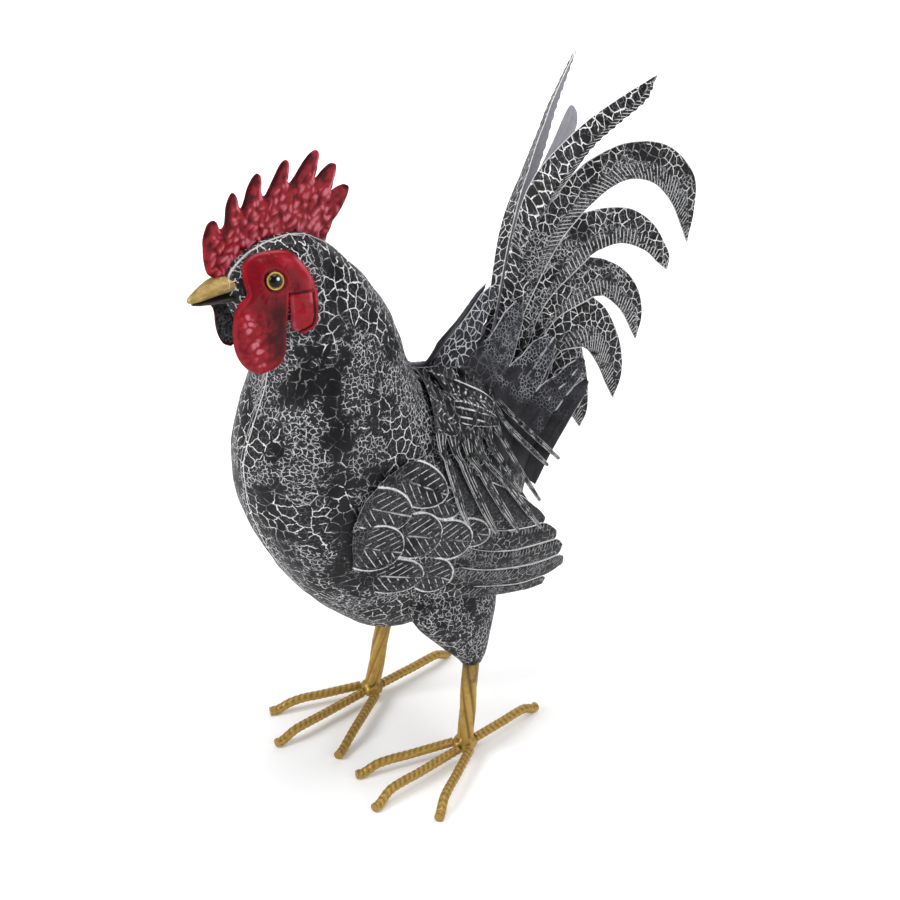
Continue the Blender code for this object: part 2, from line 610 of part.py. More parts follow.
def make_leg(finish, side, word, hub, top):
    """Leg: a bundle of strands twisted round each other, with the weld blob at its foot."""
    rows = 8
    path = np.linspace(hub, top, rows)
    angle = np.linspace(0, 2 * np.pi, LEG_STRANDS * 2, endpoint=False)
    radius = LEG_DIAMETER / 2 * (0.93 + 0.07 * np.cos(LEG_STRANDS * angle))
    turn = side * np.linspace(0, LEG_TWIST, rows)
    rings = rod_rings(path, radius, turn)
    rings[-1][:, 2] = top[2]
    leg = add_object(f"leg_{word}", loft(rings), finish)
    blob = bmesh.new()
    bmesh.ops.create_icosphere(blob, subdivisions=1, radius=WELD_RADIUS)
    squash = Matrix.Diagonal((1.0, 1.0, 0.8, 1.0))
    bmesh.ops.transform(blob, matrix=Matrix.Translation(Vector(hub)) @ squash, verts=blob.verts)
    weld = add_object(f"weld_{word}", blob, finish)
    boolean(leg, weld, "UNION")
    return leg


def make_toe(finish, name, side, points):
    """Toe: a rod that springs from the weld, bends and comes down on the flat of its tip."""
    root, bend, tip = [to_metres([side * x, y, 0.0]) for x, y in points]
    root[2], bend[2], tip[2] = TOE_HEIGHTS[0], TOE_HEIGHTS[1], TOE_ROD / 2
    landing = bend + 0.74 * (tip - bend)
    landing[2] = TOE_ROD / 2
    path = np.vstack([smooth_curve([root, root + 0.6 * (bend - root), bend, landing], 7), tip])
    sides = 8
    radius = np.full(sides, TOE_ROD / 2 / math.cos(math.pi / sides))
    rings = rod_rings(path, radius, np.full(len(path), math.pi / sides))
    rings[0] = path[0] + (rings[0] - path[0]) * 0.8
    for ring in rings[-2:]:
        ring[:, 2] = np.where(ring[:, 2] < TOE_ROD * 0.12, 0.0, ring[:, 2])
    for ring in rings:
        ring[:, 2] = np.maximum(ring[:, 2], 0.0)
    return add_object(name, loft(rings), finish)


def make_foot(finish, side, word):
    """One leg with its four toes: three forward and one behind."""
    across, along = FEET[word]
    hub = to_metres([side * across, along, 0.0])
    hub[2] = TOE_ROD / 2 + 0.0055
    top = to_metres([side * LEG_TOP[0], LEG_TOP[1], LEG_TOP[2]])
    top[2] -= GAP
    make_leg(finish, side, word, hub, top)
    for toe, points in TOES[word].items():
        make_toe(finish, f"toe_{toe}_{word}", side, points)


def main():
    for old in list(bpy.data.objects):
        bpy.data.objects.remove(old, do_unlink=True)
    charcoal = material("charcoal_crackle", (0.045, 0.045, 0.05), 0.45, 0.3)
    dark = material("dark_sheet", (0.03, 0.03, 0.035), 0.4, 0.3)
    red = material("comb_red", (0.36, 0.012, 0.03), 0.3, 0.2)
    gold = material("gold_rod", (0.45, 0.28, 0.07), 0.4, 0.6)
    horn = material("gold_beak", (0.5, 0.33, 0.1), 0.4, 0.4)
    eye = material("eye_gloss", (0.02, 0.02, 0.02), 0.1, 0.0)
    make_body(charcoal)
    skin = add_object("body_skin", loft(body_rings(BODY_RINGS, BODY_SIDES, GAP)), charcoal)
    make_comb(red)
    make_beak(horn, skin)
    for side, word in ((1, "left"), (-1, "right")):
        make_face(red, side, word)
        make_eye(eye, side, word)
        make_wing(charcoal, side, word)
        make_saddle(charcoal, side, word)
        make_covert(dark, side, word)
        make_tail(charcoal, side, word)
        make_thigh(charcoal, side, word, skin)
        make_foot(gold, side, word)
    skin.hide_render = True
    skin.display_type = "WIRE"
    toes = [item for item in bpy.data.objects if item.name.startswith("toe_")]
    reach = [vertex.co.x for item in toes for vertex in item.data.vertices]
    for item in bpy.data.objects:
        item.data.transform(Matrix.Translation((-(min(reach) + max(reach)) / 2, 0, 0)))


main()
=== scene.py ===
"""Painted metal rooster: crackled charcoal paint, red comb and face, gold beak, legs and toes.

Free forms are drawn on a pattern grid of 370 units of height, 304 of length and 120 of width, with
the mirror plane of the bird at x = 0. Every piece is a grid of points worked out as whole arrays.
"""

import math

import bpy
import numpy as np
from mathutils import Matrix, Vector


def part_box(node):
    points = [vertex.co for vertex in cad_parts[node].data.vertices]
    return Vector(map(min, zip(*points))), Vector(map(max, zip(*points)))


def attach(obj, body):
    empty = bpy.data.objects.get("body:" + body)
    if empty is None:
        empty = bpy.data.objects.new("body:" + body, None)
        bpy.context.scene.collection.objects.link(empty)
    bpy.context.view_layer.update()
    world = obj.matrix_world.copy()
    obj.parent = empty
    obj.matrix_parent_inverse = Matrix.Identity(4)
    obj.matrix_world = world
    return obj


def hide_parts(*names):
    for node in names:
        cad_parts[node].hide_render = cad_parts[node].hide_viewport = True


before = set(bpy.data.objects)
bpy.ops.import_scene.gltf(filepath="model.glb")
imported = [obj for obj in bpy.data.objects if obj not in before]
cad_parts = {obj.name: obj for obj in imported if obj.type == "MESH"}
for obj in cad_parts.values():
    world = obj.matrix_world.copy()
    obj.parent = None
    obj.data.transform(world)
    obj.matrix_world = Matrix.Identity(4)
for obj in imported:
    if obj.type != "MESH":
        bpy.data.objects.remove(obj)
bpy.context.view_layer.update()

GRID = np.array([0.001, 0.303 / 304.0, 0.001])       # pattern units to metres
LOW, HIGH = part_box("comb")
MIRROR_X = (LOW[0] + HIGH[0]) / 2
SHEET = 0.9               # pressed steel, in pattern units
PROUD = 0.85              # middle of a sheet above the surface it is drawn on
LEG_DIAMETER = 8.8
TOE_ROD = 5.1
WELD_RADIUS = 6.6
EYE_RADIUS = 4.7
COMB_HALF = 1.7
TOE_RIB_PITCH = 3.6
LEG_STRANDS = 5
LEG_TWIST = math.radians(150)
TAIL_BARB_PITCH = 2.6
FAR = 9.0                 # in a field of distances: too far from any line for it to be painted
BODY_CELL, FEATHER_CELL, FINE_CELL = 6.2, 4.7, 2.5       # sizes of the cells between cracks, in mm

# Camera: what it looks at, from how far, and its two angles in degrees
CAMERA_AIM = (0.015 + MIRROR_X, -0.004, 0.182)
CAMERA_DISTANCE = 1.0
CAMERA_AZIMUTH, CAMERA_ELEVATION = 50, 26.3
CAMERA_LENS = 74.0
WORLD_LIGHT = 0.36
FLOOR_HALF = 6

# Area lamps: name, place, size and power
LAMPS = [("key", (-0.35, -1.35, 1.15), 0.8, 18.0), ("fill", (1.5, 0.35, 0.75), 1.1, 7.0),
         ("top", (0.1, 0.2, 1.7), 1.0, 17.0), ("rear", (-0.9, 1.2, 0.9), 0.9, 6.0)]

FEET = {"left": (38.6, -12.5), "right": (39.9, -18.8)}
LEG_TOP = (38.0, -8.0, 61.0)
TOES = {"left": {"inner": [(33.4, -17.6), (21.8, -61.5), (17.9, -75.0)],
                 "middle": [(41.0, -20.4), (45.1, -71.8), (48.3, -86.0)],
                 "outer": [(45.5, -15.0), (69.3, -53.6), (77.6, -64.6)],
                 "hind": [(38.4, -5.2), (34.0, 36.2), (32.2, 48.0)]},
        "right": {"inner": [(32.6, -21.8), (11.8, -54.8), (3.3, -72.0)],
                  "middle": [(39.6, -26.8), (34.8, -80.0), (35.8, -92.0)],
                  "outer": [(46.6, -22.6), (59.4, -61.0), (64.6, -76.0)],
                  "hind": [(40.0, -11.2), (44.0, 34.9), (46.3, 46.2)]}}
TOE_HEIGHTS = (7.2, 6.6, 2.6)

# The body from the face to the rump: chest rail (y, z), back rail (y, z) and half width
BODY_STATIONS = [
    (-133, 299, -136, 304, 1), (-127, 287, -130, 315, 10), (-119, 273, -110, 324, 16),
    (-111, 258, -84, 321, 22), (-114, 242, -59, 301, 29), (-123, 224, -39, 273, 36),
    (-128, 204, -29, 245, 42), (-124, 175, -18, 227, 45), (-107, 140, -4, 223, 48),
    (-80, 106, 16, 217, 49), (-45, 82, 37, 201, 43), (-2, 84, 51, 186, 33),
    (31, 112, 58, 170, 20), (54, 148, 58, 157, 1)]

# Where the body's cracks change: centre (y, z), reach in y and z, and how much of the field
BODY_PATCHES = {
    "bias": [(-78, 294, 20, 27, -0.30), (-52, 205, 14, 18, -0.20), (-118, 185, 14, 30, -0.10),
             (-84, 262, 11, 30, 0.16), (-76, 225, 10, 22, 0.10)],
    "bare": [(-101, 268, 7, 11, 0.35), (-96, 245, 5, 16, 0.35), (-96, 215, 6, 22, 0.35),
             (-84, 160, 9, 14, 0.35)]}

# Edge of the comb as (y, z), from its front foot over seven spikes to its rear foot
COMB_EDGE = [
    (-135.8, 308.7), (-141.2, 312.1), (-143, 319), (-143.1, 325), (-142.8, 329.9), (-140.1, 336.2),
    (-138.3, 337.5), (-136.6, 337.9), (-135, 337), (-134.3, 335.4), (-133.6, 333.5), (-132, 332.9),
    (-130.4, 335), (-129.1, 342.6), (-127.4, 346.6), (-125.9, 348.5), (-124.7, 349),
    (-123.2, 347.2), (-122.2, 344), (-121.8, 341.5), (-120.7, 340.5), (-118.9, 343.3),
    (-116.8, 348.8), (-114.3, 352.7), (-112.5, 354.5), (-110.5, 355.5), (-108.9, 354),
    (-108.4, 350.9), (-108.9, 347.1), (-108.2, 344.2), (-106.8, 343.7), (-105, 345.8),
    (-101.2, 351.4), (-97.5, 356.6), (-95.1, 358.5), (-93.3, 358.7), (-92, 356.4), (-92.4, 352.6),
    (-93.5, 349.3), (-92.7, 347.1), (-90.9, 347.8), (-84.1, 355.3), (-80.4, 358.6), (-78, 359.8),
    (-75.6, 360.1), (-74.2, 357.8), (-74.9, 354.5), (-76.9, 349.9), (-77.6, 346.7), (-76.1, 346.7),
    (-73, 349.1), (-69.3, 351.3), (-66.9, 351.8), (-64.5, 350.8), (-64.3, 347.8), (-66, 343.1),
    (-67.9, 339.4), (-67.1, 338.2), (-64.9, 339), (-61.8, 339.6), (-59.4, 339.6), (-57, 338.1),
    (-57.4, 335.1), (-59.6, 331), (-64.1, 325.2), (-68.6, 321.8), (-71.1, 320.6), (-75.4, 319)]

# Beak sections: y, z, half width, half height; then see mandible()
BEAK = {
    "upper": ([(-127, 305.9, 7.6, 4.4), (-133, 305.9, 7.5, 4.5), (-139, 305.3, 6.4, 4.4),
               (-144.5, 304.0, 4.8, 3.7), (-149.3, 302.6, 3.2, 2.6), (-152.6, 301.7, 1.8, 1.5),
               (-153.4, 301.5, 0.7, 0.6)], 0.35, (0, 1, 2.2, 3.2)),
    "lower": ([(-127, 299.0, 7.0, 2.0), (-135, 299.0, 6.3, 1.9), (-141, 299.0, 4.9, 1.6),
               (-147, 299.0, 3.0, 1.1), (-151.0, 299.2, 1.0, 0.6)], 0.0, (0.95, 0.45, 0.5, 1.3))}

# Face plate edges as (y, z), from the forehead down
FACE_FRONT = [(-114, 320.5), (-121, 319.5), (-127, 316), (-129, 309), (-129, 303), (-135.5, 298),
              (-138, 287), (-137, 275), (-132, 266), (-125, 262)]
FACE_SLOT = [(-114, 320.5), (-111, 315), (-110, 308), (-109, 301)]
WATTLE_REAR = [(-110, 293), (-111.5, 281), (-112, 271), (-116, 264.5), (-125, 262)]
LOBE_FRONT = [(-109, 297), (-108.9, 290), (-108.6, 283), (-103.5, 279)]
LOBE_REAR = [(-114, 320.5), (-104, 319), (-97.5, 311), (-95, 302), (-95.5, 291), (-97.5, 283),
             (-103.5, 279)]
# Lines that place painted light on the face plate: painted highlights along the wattle and the
# brow, painted shade over the rear of the wattle
WATTLE_HIGHLIGHT = [(-132.0, 294.0), (-130.0, 283.0), (-125.5, 269.0)]
WATTLE_SHADE = [(-116.0, 292.0), (-116.5, 274.0)]
BROW_HIGHLIGHT = [(-108.0, 316.0), (-101.0, 314.0), (-98.0, 306.0), (-97.5, 296.0)]
EYE_PLACE = (-115.2, 307.6)

# Wing seams as (y, z), from the front edge to the feather tips, upper edge first
WING_SEAMS = [
    [(-72, 201), (-56, 204), (-31, 195), (-9, 180), (11, 166), (22, 155)],
    [(-86, 190), (-53, 184), (-28, 166), (-7, 151), (18, 144), (28, 143)],
    [(-91, 173), (-54, 167), (-21, 144), (5, 134), (26, 130), (40, 127)],
    [(-90, 158), (-59, 151), (-31, 136), (-10, 127), (22, 118), (47, 113)],
    [(-86, 143), (-63, 136), (-33, 124), (-7, 115), (16, 107), (36, 103)],
    [(-74, 130), (-63, 125), (-43, 118), (-23, 112), (2, 105), (20, 100)]]
WING_TIPS = [(29, 146), (40, 133), (48, 120), (52.5, 104.5), (36, 98)]

# Scale feathers pressed into the wing, the lowest first: root and tip (y, z), half width, how
# high they lie and how far apart their barbs are
WING_SCALES = [
    ((-48.2, 181.3), (-28.3, 170.6), 8.4, -0.1, 5.2),
    ((-33.1, 158.1), (-11.5, 149.7), 8.1, -0.1, 5.2),
    ((-48.8, 158.3), (-22.8, 149.5), 11.5, 0.1, 5.2),
    ((-53.1, 139.4), (-34.6, 128.7), 10.3, 0.1, 5.2),
    ((-69.7, 200.7), (-37.2, 180.6), 11.6, 0.2, 5.6),
    ((-68.4, 167.0), (-42.2, 157.4), 13.1, 0.4, 5.6),
    ((-81.5, 144.4), (-51.6, 135.7), 11.0, 0.5, 5.2),
    ((-89.1, 189.3), (-61.0, 176.2), 12.0, 0.7, 5.6),
    ((-91.0, 165.5), (-65.4, 155.8), 13.9, 0.8, 5.2)]

# Scale feathers on the saddle, in the same way; the long one in the middle has ridges lengthwise
SADDLE_SCALES = [
    ((-31.0, 230.0), (-24.0, 219.0), 9.0, 0.2, 3.4),
    ((-21.7, 225.0), (13.0, 210.5), 5.5, 0.3, 3.4),
    ((-33.0, 221.0), (-19.5, 209.0), 6.5, 0.5, 3.4),
    ((-20.0, 217.0), (8.5, 204.5), 4.7, 0.8, 1.9)]

# Tail seams in the tail plate's own plane as (run, z), root first
TAIL_SEAMS = [
    [(-12, 208), (-6, 232), (0, 258), (6, 290), (15, 317), (41, 344), (62, 358), (83, 369.9)],
    [(-9, 202), (-4, 233), (4, 268), (14, 294), (34, 319)],
    [(-5, 196), (4, 233), (16, 260), (30, 284), (43, 298)],
    [(0, 190), (11, 225), (22, 249), (48, 272)],
    [(5, 184), (16, 219), (28, 238), (51, 248)],
    [(10, 178), (22, 200), (31, 218), (45, 219)],
    [(15, 173), (25, 183), (32, 187)]]
TAIL_LEADING = [
    [],
    [(45, 327), (67, 334), (92, 330), (110, 311), (111, 290), (107, 272)],
    [(58, 299), (73, 296), (86, 286), (94, 273), (97, 265), (95, 258)],
    [(58, 269), (71, 260), (79, 247), (81, 232), (77, 219)],
    [(59, 240), (67, 223), (70, 207), (69, 196), (64, 185)],
    [(48, 205), (49, 192), (48, 179), (43, 171)]]
TAIL_TRAILING = [
    [(50, 336), (64, 346), (79, 357), (83, 369.9)],
    [(58, 309), (71, 313), (85, 309), (96, 297), (103, 282), (107, 272)],
    [(54, 275), (67, 277), (81, 271), (90, 262), (95, 258)],
    [(58, 247), (68, 237), (74, 225), (77, 219)],
    [(49, 216), (55, 206), (59, 196), (64, 185)],
    [(36, 185), (38, 180), (43, 171)]]
TAIL_JOINED = [0, 8, 7, 7, 7, 6, 4]      # fourteenths of a feather's rows that each seam joins
# The right tail plate differs in its second feather, which is a short straight finger
TAIL_RIGHT_SEAM = [(-9, 202), (-4, 233), (6, 266), (18, 288), (38, 303)]
TAIL_RIGHT_LEADING = [(52, 314), (64, 324), (76, 335.2), (82, 339), (86, 338)]
TAIL_RIGHT_TRAILING = [[(50, 318), (60, 338), (73, 357), (83, 369.9)],
                       [(57, 303), (70, 310), (82, 318), (90, 326), (90, 333), (86, 338)]]
TAIL_RIGHT_STRETCH = np.array([7.5, 2.0])      # how much further its first feather's tip reaches
# Front edge of the tail by share of its length: how deep it is folded in, and how far it is moved
BROW_FOLD = [(0, 7.0), (0.2, 10.5), (0.42, 13.5), (0.58, 14.0), (0.72, 10.0), (0.87, 4.5), (1, 0.0)]
BROW_RUN = [(0, -1.0), (0.3, 0.0), (0.42, 2.0), (0.56, 5.0), (0.72, 3.5), (0.87, 1.0), (1, 0.0)]
SEAM_FOLD = [(0, 2.5), (0.5, 2.5), (1, 0.0)]
TAIL_SPREAD = 0.29
TAIL_START = (8.7, 45.0)

# Covert feathers: (y, z) axis, half widths, and the share of the length that is joined to the next
COVERT_FEATHERS = [
    ([(-10, 221), (5, 233.5), (19.5, 245.5), (35.5, 263.5)], (7.0, 6.5, 4.8, 1.3), 0.33),
    ([(-5, 205), (14, 218), (32, 231.5), (48, 253.5)], (11.0, 10.0, 6.3, 2.5), 0.40),
    ([(6, 186), (27, 200), (44, 214.5), (63, 232.6)], (11.0, 11.0, 8.0, 3.0), 0.44),
    ([(25, 168), (42, 185), (56, 199), (78.5, 218)], (10.0, 9.0, 5.5, 2.0), 0.54),
    ([(35, 159), (49, 176), (62.5, 190.5), (78.5, 206.5)], (5.0, 5.0, 4.5, 2.0), 0)]

# Saddle feathers: (x, y, z) axis from the ridge of the back to the tip, then as above
SADDLE_FEATHERS = [
    ([(1, -22, 233), (22, -28, 222), (41, -35, 204), (58, -29, 163)], (3.0, 2.5, 1.9, 0.9), 0.29),
    ([(1, -18, 231), (24, -20, 216), (44, -26, 198), (60, -11, 153)], (3.0, 2.5, 1.9, 0.9), 0.27),
    ([(1, -14, 230), (24, -12, 212), (45, -17, 194), (61, 4, 149)], (3.0, 2.5, 1.9, 0.9), 0.27),
    ([(1, -10, 229), (23, -5, 210), (43, -8, 193), (60, 21, 145)], (3.0, 2.5, 1.9, 0.9), 0.27),
    ([(1, -7, 228.5), (21, 1, 211), (41, 1, 193), (50, 22, 154)], (2.6, 2.0, 1.5, 0.8), 0.27),
    ([(1, -4, 228), (19, 6, 212), (38, 9, 195), (46, 33, 152)], (2.6, 2.0, 1.4, 0.8), 0.26),
    ([(1, -1, 227.5), (16, 11, 214), (34, 18, 198), (42, 42, 169)], (2.6, 2.0, 1.4, 0.8), 0.25),
    ([(1, 2, 227), (13, 15, 217), (29, 25, 201), (41, 51, 170)], (2.6, 2.0, 1.4, 0.8), 0)]


# ---- Curves, surfaces and meshes ----

def mixed(one, other, share):
    return one * (1 - share) + other * share


def bell(value, centre, width):
    """exp(-((value - centre) / width)^2)."""
    return np.exp(-((value - centre) / width) ** 2)


def round_angles(count):
    return np.linspace(0, 2 * np.pi, count, endpoint=False)


def run_along(line):
    """Distance run along a line of points, from 0 at its start."""
    return np.concatenate([[0], np.cumsum(np.linalg.norm(np.diff(line, axis=0), axis=1))])


def smooth_curve(points, count):
    """Cubic through the points: on each span the two ends mixed by 2u^3 - 3u^2 + 1, and tangents
    that run parallel to the chord of the neighbours."""
    points = np.asarray(points, float)
    steps = np.linalg.norm(np.diff(points[:, :4], axis=0), axis=1)
    knots = np.concatenate([[0], np.cumsum(steps)]) / steps.sum()
    tangents = np.zeros_like(points)
    tangents[1:-1] = (points[2:] - points[:-2]) / (knots[2:] - knots[:-2])[:, None]
    tangents[0] = (points[1] - points[0]) / knots[1]
    tangents[-1] = (points[-1] - points[-2]) / (1 - knots[-2])
    where = np.linspace(0, 1, count)
    span = np.clip(np.searchsorted(knots, where, side="right") - 1, 0, len(knots) - 2)
    width = (knots[span + 1] - knots[span])[:, None]
    u = ((where - knots[span]) / width[:, 0])[:, None]
    return (mixed(points[span], points[span + 1], 3 * u**2 - 2 * u**3)
            + width * ((u**3 - 2 * u**2 + u) * tangents[span] + (u**3 - u**2) * tangents[span + 1]))


BODY_RAILS = smooth_curve(BODY_STATIONS, 240)


def body_half_width(y, z):
    """Half width of the body at (y, z): the chord that passes there gives half * sqrt(1 - t^2)."""
    chest, back, half = BODY_RAILS[:, :2], BODY_RAILS[:, 2:4], BODY_RAILS[:, 4]
    chord = back - chest
    offset = np.stack([np.ravel(y), np.ravel(z)], 1)[:, None, :] - chest[None]
    side = chord[None, :, 0] * offset[:, :, 1] - chord[None, :, 1] * offset[:, :, 0]
    share = (offset * chord[None]).sum(2) / (chord**2).sum(1)[None]
    crossed = (side[:, :-1] * side[:, 1:] <= 0) & (np.abs(share[:, :-1] - 0.5) < 0.52)
    gap = side[:, :-1] - side[:, 1:]
    mix = side[:, :-1] / np.where(np.abs(gap) < 1e-9, 1e-9, gap)
    share = mixed(share[:, :-1], share[:, 1:], mix)
    half = mixed(half[None, :-1], half[None, 1:], mix)
    reach = half * np.sqrt(np.clip(1 - (2 * share - 1) ** 2, 0, 1))
    return np.where(crossed, reach, 0).max(1).reshape(np.shape(y))


def larger(a, b, blend):
    """Soft maximum: (a + b + sqrt((a - b)^2 + blend^2)) / 2."""
    return 0.5 * (a + b + np.sqrt((a - b) ** 2 + blend**2))


def smooth_step(value, low, high):
    """t^2 (3 - 2t), with t running from 0 at low to 1 at high."""
    t = np.clip((value - low) / (high - low), 0, 1)
    return t * t * (3 - 2 * t)


def lumps(points, size, seed):
    """Smooth lumps of about one size: the mean of twelve plane waves in scattered directions."""
    scatter = np.random.default_rng(seed)
    heading = scatter.normal(size=(points.shape[-1], 12))
    heading *= scatter.uniform(0.7, 1.4, 12) / np.linalg.norm(heading, axis=0)
    phase = scatter.uniform(0, 6.28, 12)
    return np.sin(points @ heading * (2 * np.pi / size) + phase).mean(-1) * 2.4


def pebbles(plane, size, seed):
    """Round pebbles: 1 - (distance to the nearest of one jittered centre for each cell / 0.6)^2."""
    plane = plane / size
    cell = np.floor(plane)
    nearest = np.full(plane.shape[:-1], 9.0)
    for shift in [(a, b) for a in (-1, 0, 1) for b in (-1, 0, 1)]:
        home = cell + np.array(shift)
        key = home[..., 0] * 127.1 + home[..., 1] * 311.7 + seed
        jitter = np.stack([np.sin(key) * 43758.5, np.sin(key * 1.7 + 2) * 24634.6], -1) % 1.0
        nearest = np.minimum(nearest, np.linalg.norm(plane - home - 0.15 - 0.7 * jitter, axis=-1))
    return np.clip(1 - (nearest / 0.6) ** 2, 0, 1)


def distance_to(plane, line):
    """Least distance from points (..., 2) to a line of points (n, 2), by clamped projection."""
    start, step = line[:-1], np.diff(line, axis=0)
    found = np.full(plane.shape[:-1], 1e9)
    for a, b in zip(start, step):
        share = np.clip(((plane - a) @ b) / max(b @ b, 1e-9), 0, 1)
        found = np.minimum(found, np.linalg.norm(plane - a - share[..., None] * b, axis=-1))
    return found


def facing(points):
    """Unit normals of a grid, from the cross product of its two gradients."""
    normal = np.cross(np.gradient(points, axis=0), np.gradient(points, axis=1))
    return normal / np.maximum(np.linalg.norm(normal, axis=-1, keepdims=True), 1e-12)


def ring_facing(points):
    """Unit normals of a grid whose columns close into rings."""
    return facing(np.concatenate([points[:, -1:], points, points[:, :1]], axis=1))[:, 1:-1]


def facing_ways(points):
    """For a grid of rings: how much of its normal points ahead, n_y^2 / (n_x^2 + n_y^2), and up or
    down, n_z^2."""
    square = ring_facing(points) ** 2
    return square[..., 1] / np.maximum(square[..., 0] + square[..., 1], 1e-6), square[..., 2]


def shell(middle, thickness, front_fields, back_fields=None):
    """Closed sheet: middle plus and minus normal * thickness / 2 * sqrt(1 - (0.98 t)^8), where t is
    the distance from the centre line as a share. Fields are given on the front, as x grows."""
    normal = facing(middle)
    normal *= np.sign(normal[..., 0].mean())
    t = np.abs(np.linspace(-1, 1, middle.shape[1])) * 0.98
    half = normal * (thickness / 2 * np.sqrt(1 - t**8))[None, :, None]
    points = np.concatenate([middle + half, (middle - half)[:, ::-1]], axis=1)
    none = np.zeros(middle.shape[:2])
    fields = {"inner": np.concatenate([none, none + 1], axis=1)}
    for key, front in front_fields.items():
        back = (back_fields or {}).get(key, front)
        fields[key] = np.concatenate([front + none, (back + none)[:, ::-1]], axis=1)
    return points, fields


def closed_faces(points):
    """Quads of a grid whose columns close into rings, with a strip of quads over each end ring."""
    rows, columns = points.shape[:2]
    index = np.arange(rows * columns).reshape(rows, columns)
    ahead = np.roll(index, -1, axis=1)
    wall = np.stack([index[:-1], ahead[:-1], ahead[1:], index[1:]], -1).reshape(-1, 4)
    k = np.arange(columns // 2 - 1)
    ends = [np.stack([ring[k], ring[columns - 1 - k], ring[columns - 2 - k], ring[k + 1]], -1)
            for ring in (index[0], index[-1])]
    quads = np.concatenate([wall, ends[0], ends[1][:, ::-1]])
    corner = points.reshape(-1, 3)[quads]
    corner = corner - points.reshape(-1, 3).mean(0)
    volume = (corner[:, 0] * np.cross(corner[:, 1], corner[:, 2])).sum()
    volume += (corner[:, 0] * np.cross(corner[:, 2], corner[:, 3])).sum()
    return quads if volume > 0 else quads[:, ::-1]


def make_piece(name, grids, finish, side, node, sharp=60):
    """One object of several closed grids in pattern units. Each grid is (points, fields). The flat
    fields u and v, in millimetres, carry the cracks: they are y + |x| / 2 and z + 0.3 |x|."""
    corners, quads, start = [], [], 0
    for points, fields in grids:
        fields.setdefault("u", points[..., 1] + 0.5 * np.abs(points[..., 0]) + 300 * side)
        fields.setdefault("v", points[..., 2] + 0.3 * np.abs(points[..., 0]))
        fields.setdefault("bias", 0.0)
        fields.setdefault("bare", 0.0)
        points = points * np.array([side, 1, 1]) * GRID + np.array([MIRROR_X, 0, 0])
        corners.append(points.reshape(-1, 3))
        quads.append(closed_faces(points) + start)
        start += len(corners[-1])
    name = "painted_" + name.replace(" ", "_")
    mesh = bpy.data.meshes.new(name)
    mesh.from_pydata(np.concatenate(corners), [], np.concatenate(quads))
    for key in grids[0][1]:
        layer = mesh.attributes.new(key, "FLOAT", "POINT")
        layer.data.foreach_set("value", np.concatenate(
            [np.broadcast_to(fields[key], points.shape[:2]).ravel()
             for points, fields in grids]).astype(np.float32))
    mesh.shade_smooth()
    mesh.set_sharp_from_angle(angle=math.radians(sharp))
    mesh.materials.append(finish)
    made = bpy.data.objects.new(name, mesh)
    bpy.context.collection.objects.link(made)
    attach(made, "root")
    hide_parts(node)


# ---- Finishes ----

class Value:
    """A number, vector or colour in a finish: arithmetic on numbers adds Math nodes."""

    def __init__(self, finish, socket):
        self.finish, self.socket = finish, socket

    def maths(self, operation, first, second):
        return self.finish.node("ShaderNodeMath", {"operation": operation}, {0: first, 1: second})

    def __add__(self, other):
        return self.maths("ADD", self, other)

    def __sub__(self, other):
        return self.maths("SUBTRACT", self, other)

    def __rsub__(self, other):
        return self.maths("SUBTRACT", other, self)

    def __mul__(self, other):
        return self.maths("MULTIPLY", self, other)

    def __truediv__(self, other):
        return self.maths("DIVIDE", self, other)

    def __pow__(self, other):
        return self.maths("POWER", self, other)

    __radd__, __rmul__ = __add__, __mul__

    def most(self, other):
        return self.maths("MAXIMUM", self, other)

    def least(self, other):
        return self.maths("MINIMUM", self, other)

    def part(self):
        return self.maths("FRACT", self, 0.0)

    def beyond(self, limit):
        return self.maths("GREATER_THAN", self, limit)

    def above(self, low, high):
        """0 below low and 1 above high, smooth between."""
        return self.finish.node("ShaderNodeMapRange", {"interpolation_type": "SMOOTHSTEP"},
                                {"Value": self, "From Min": low, "From Max": high})


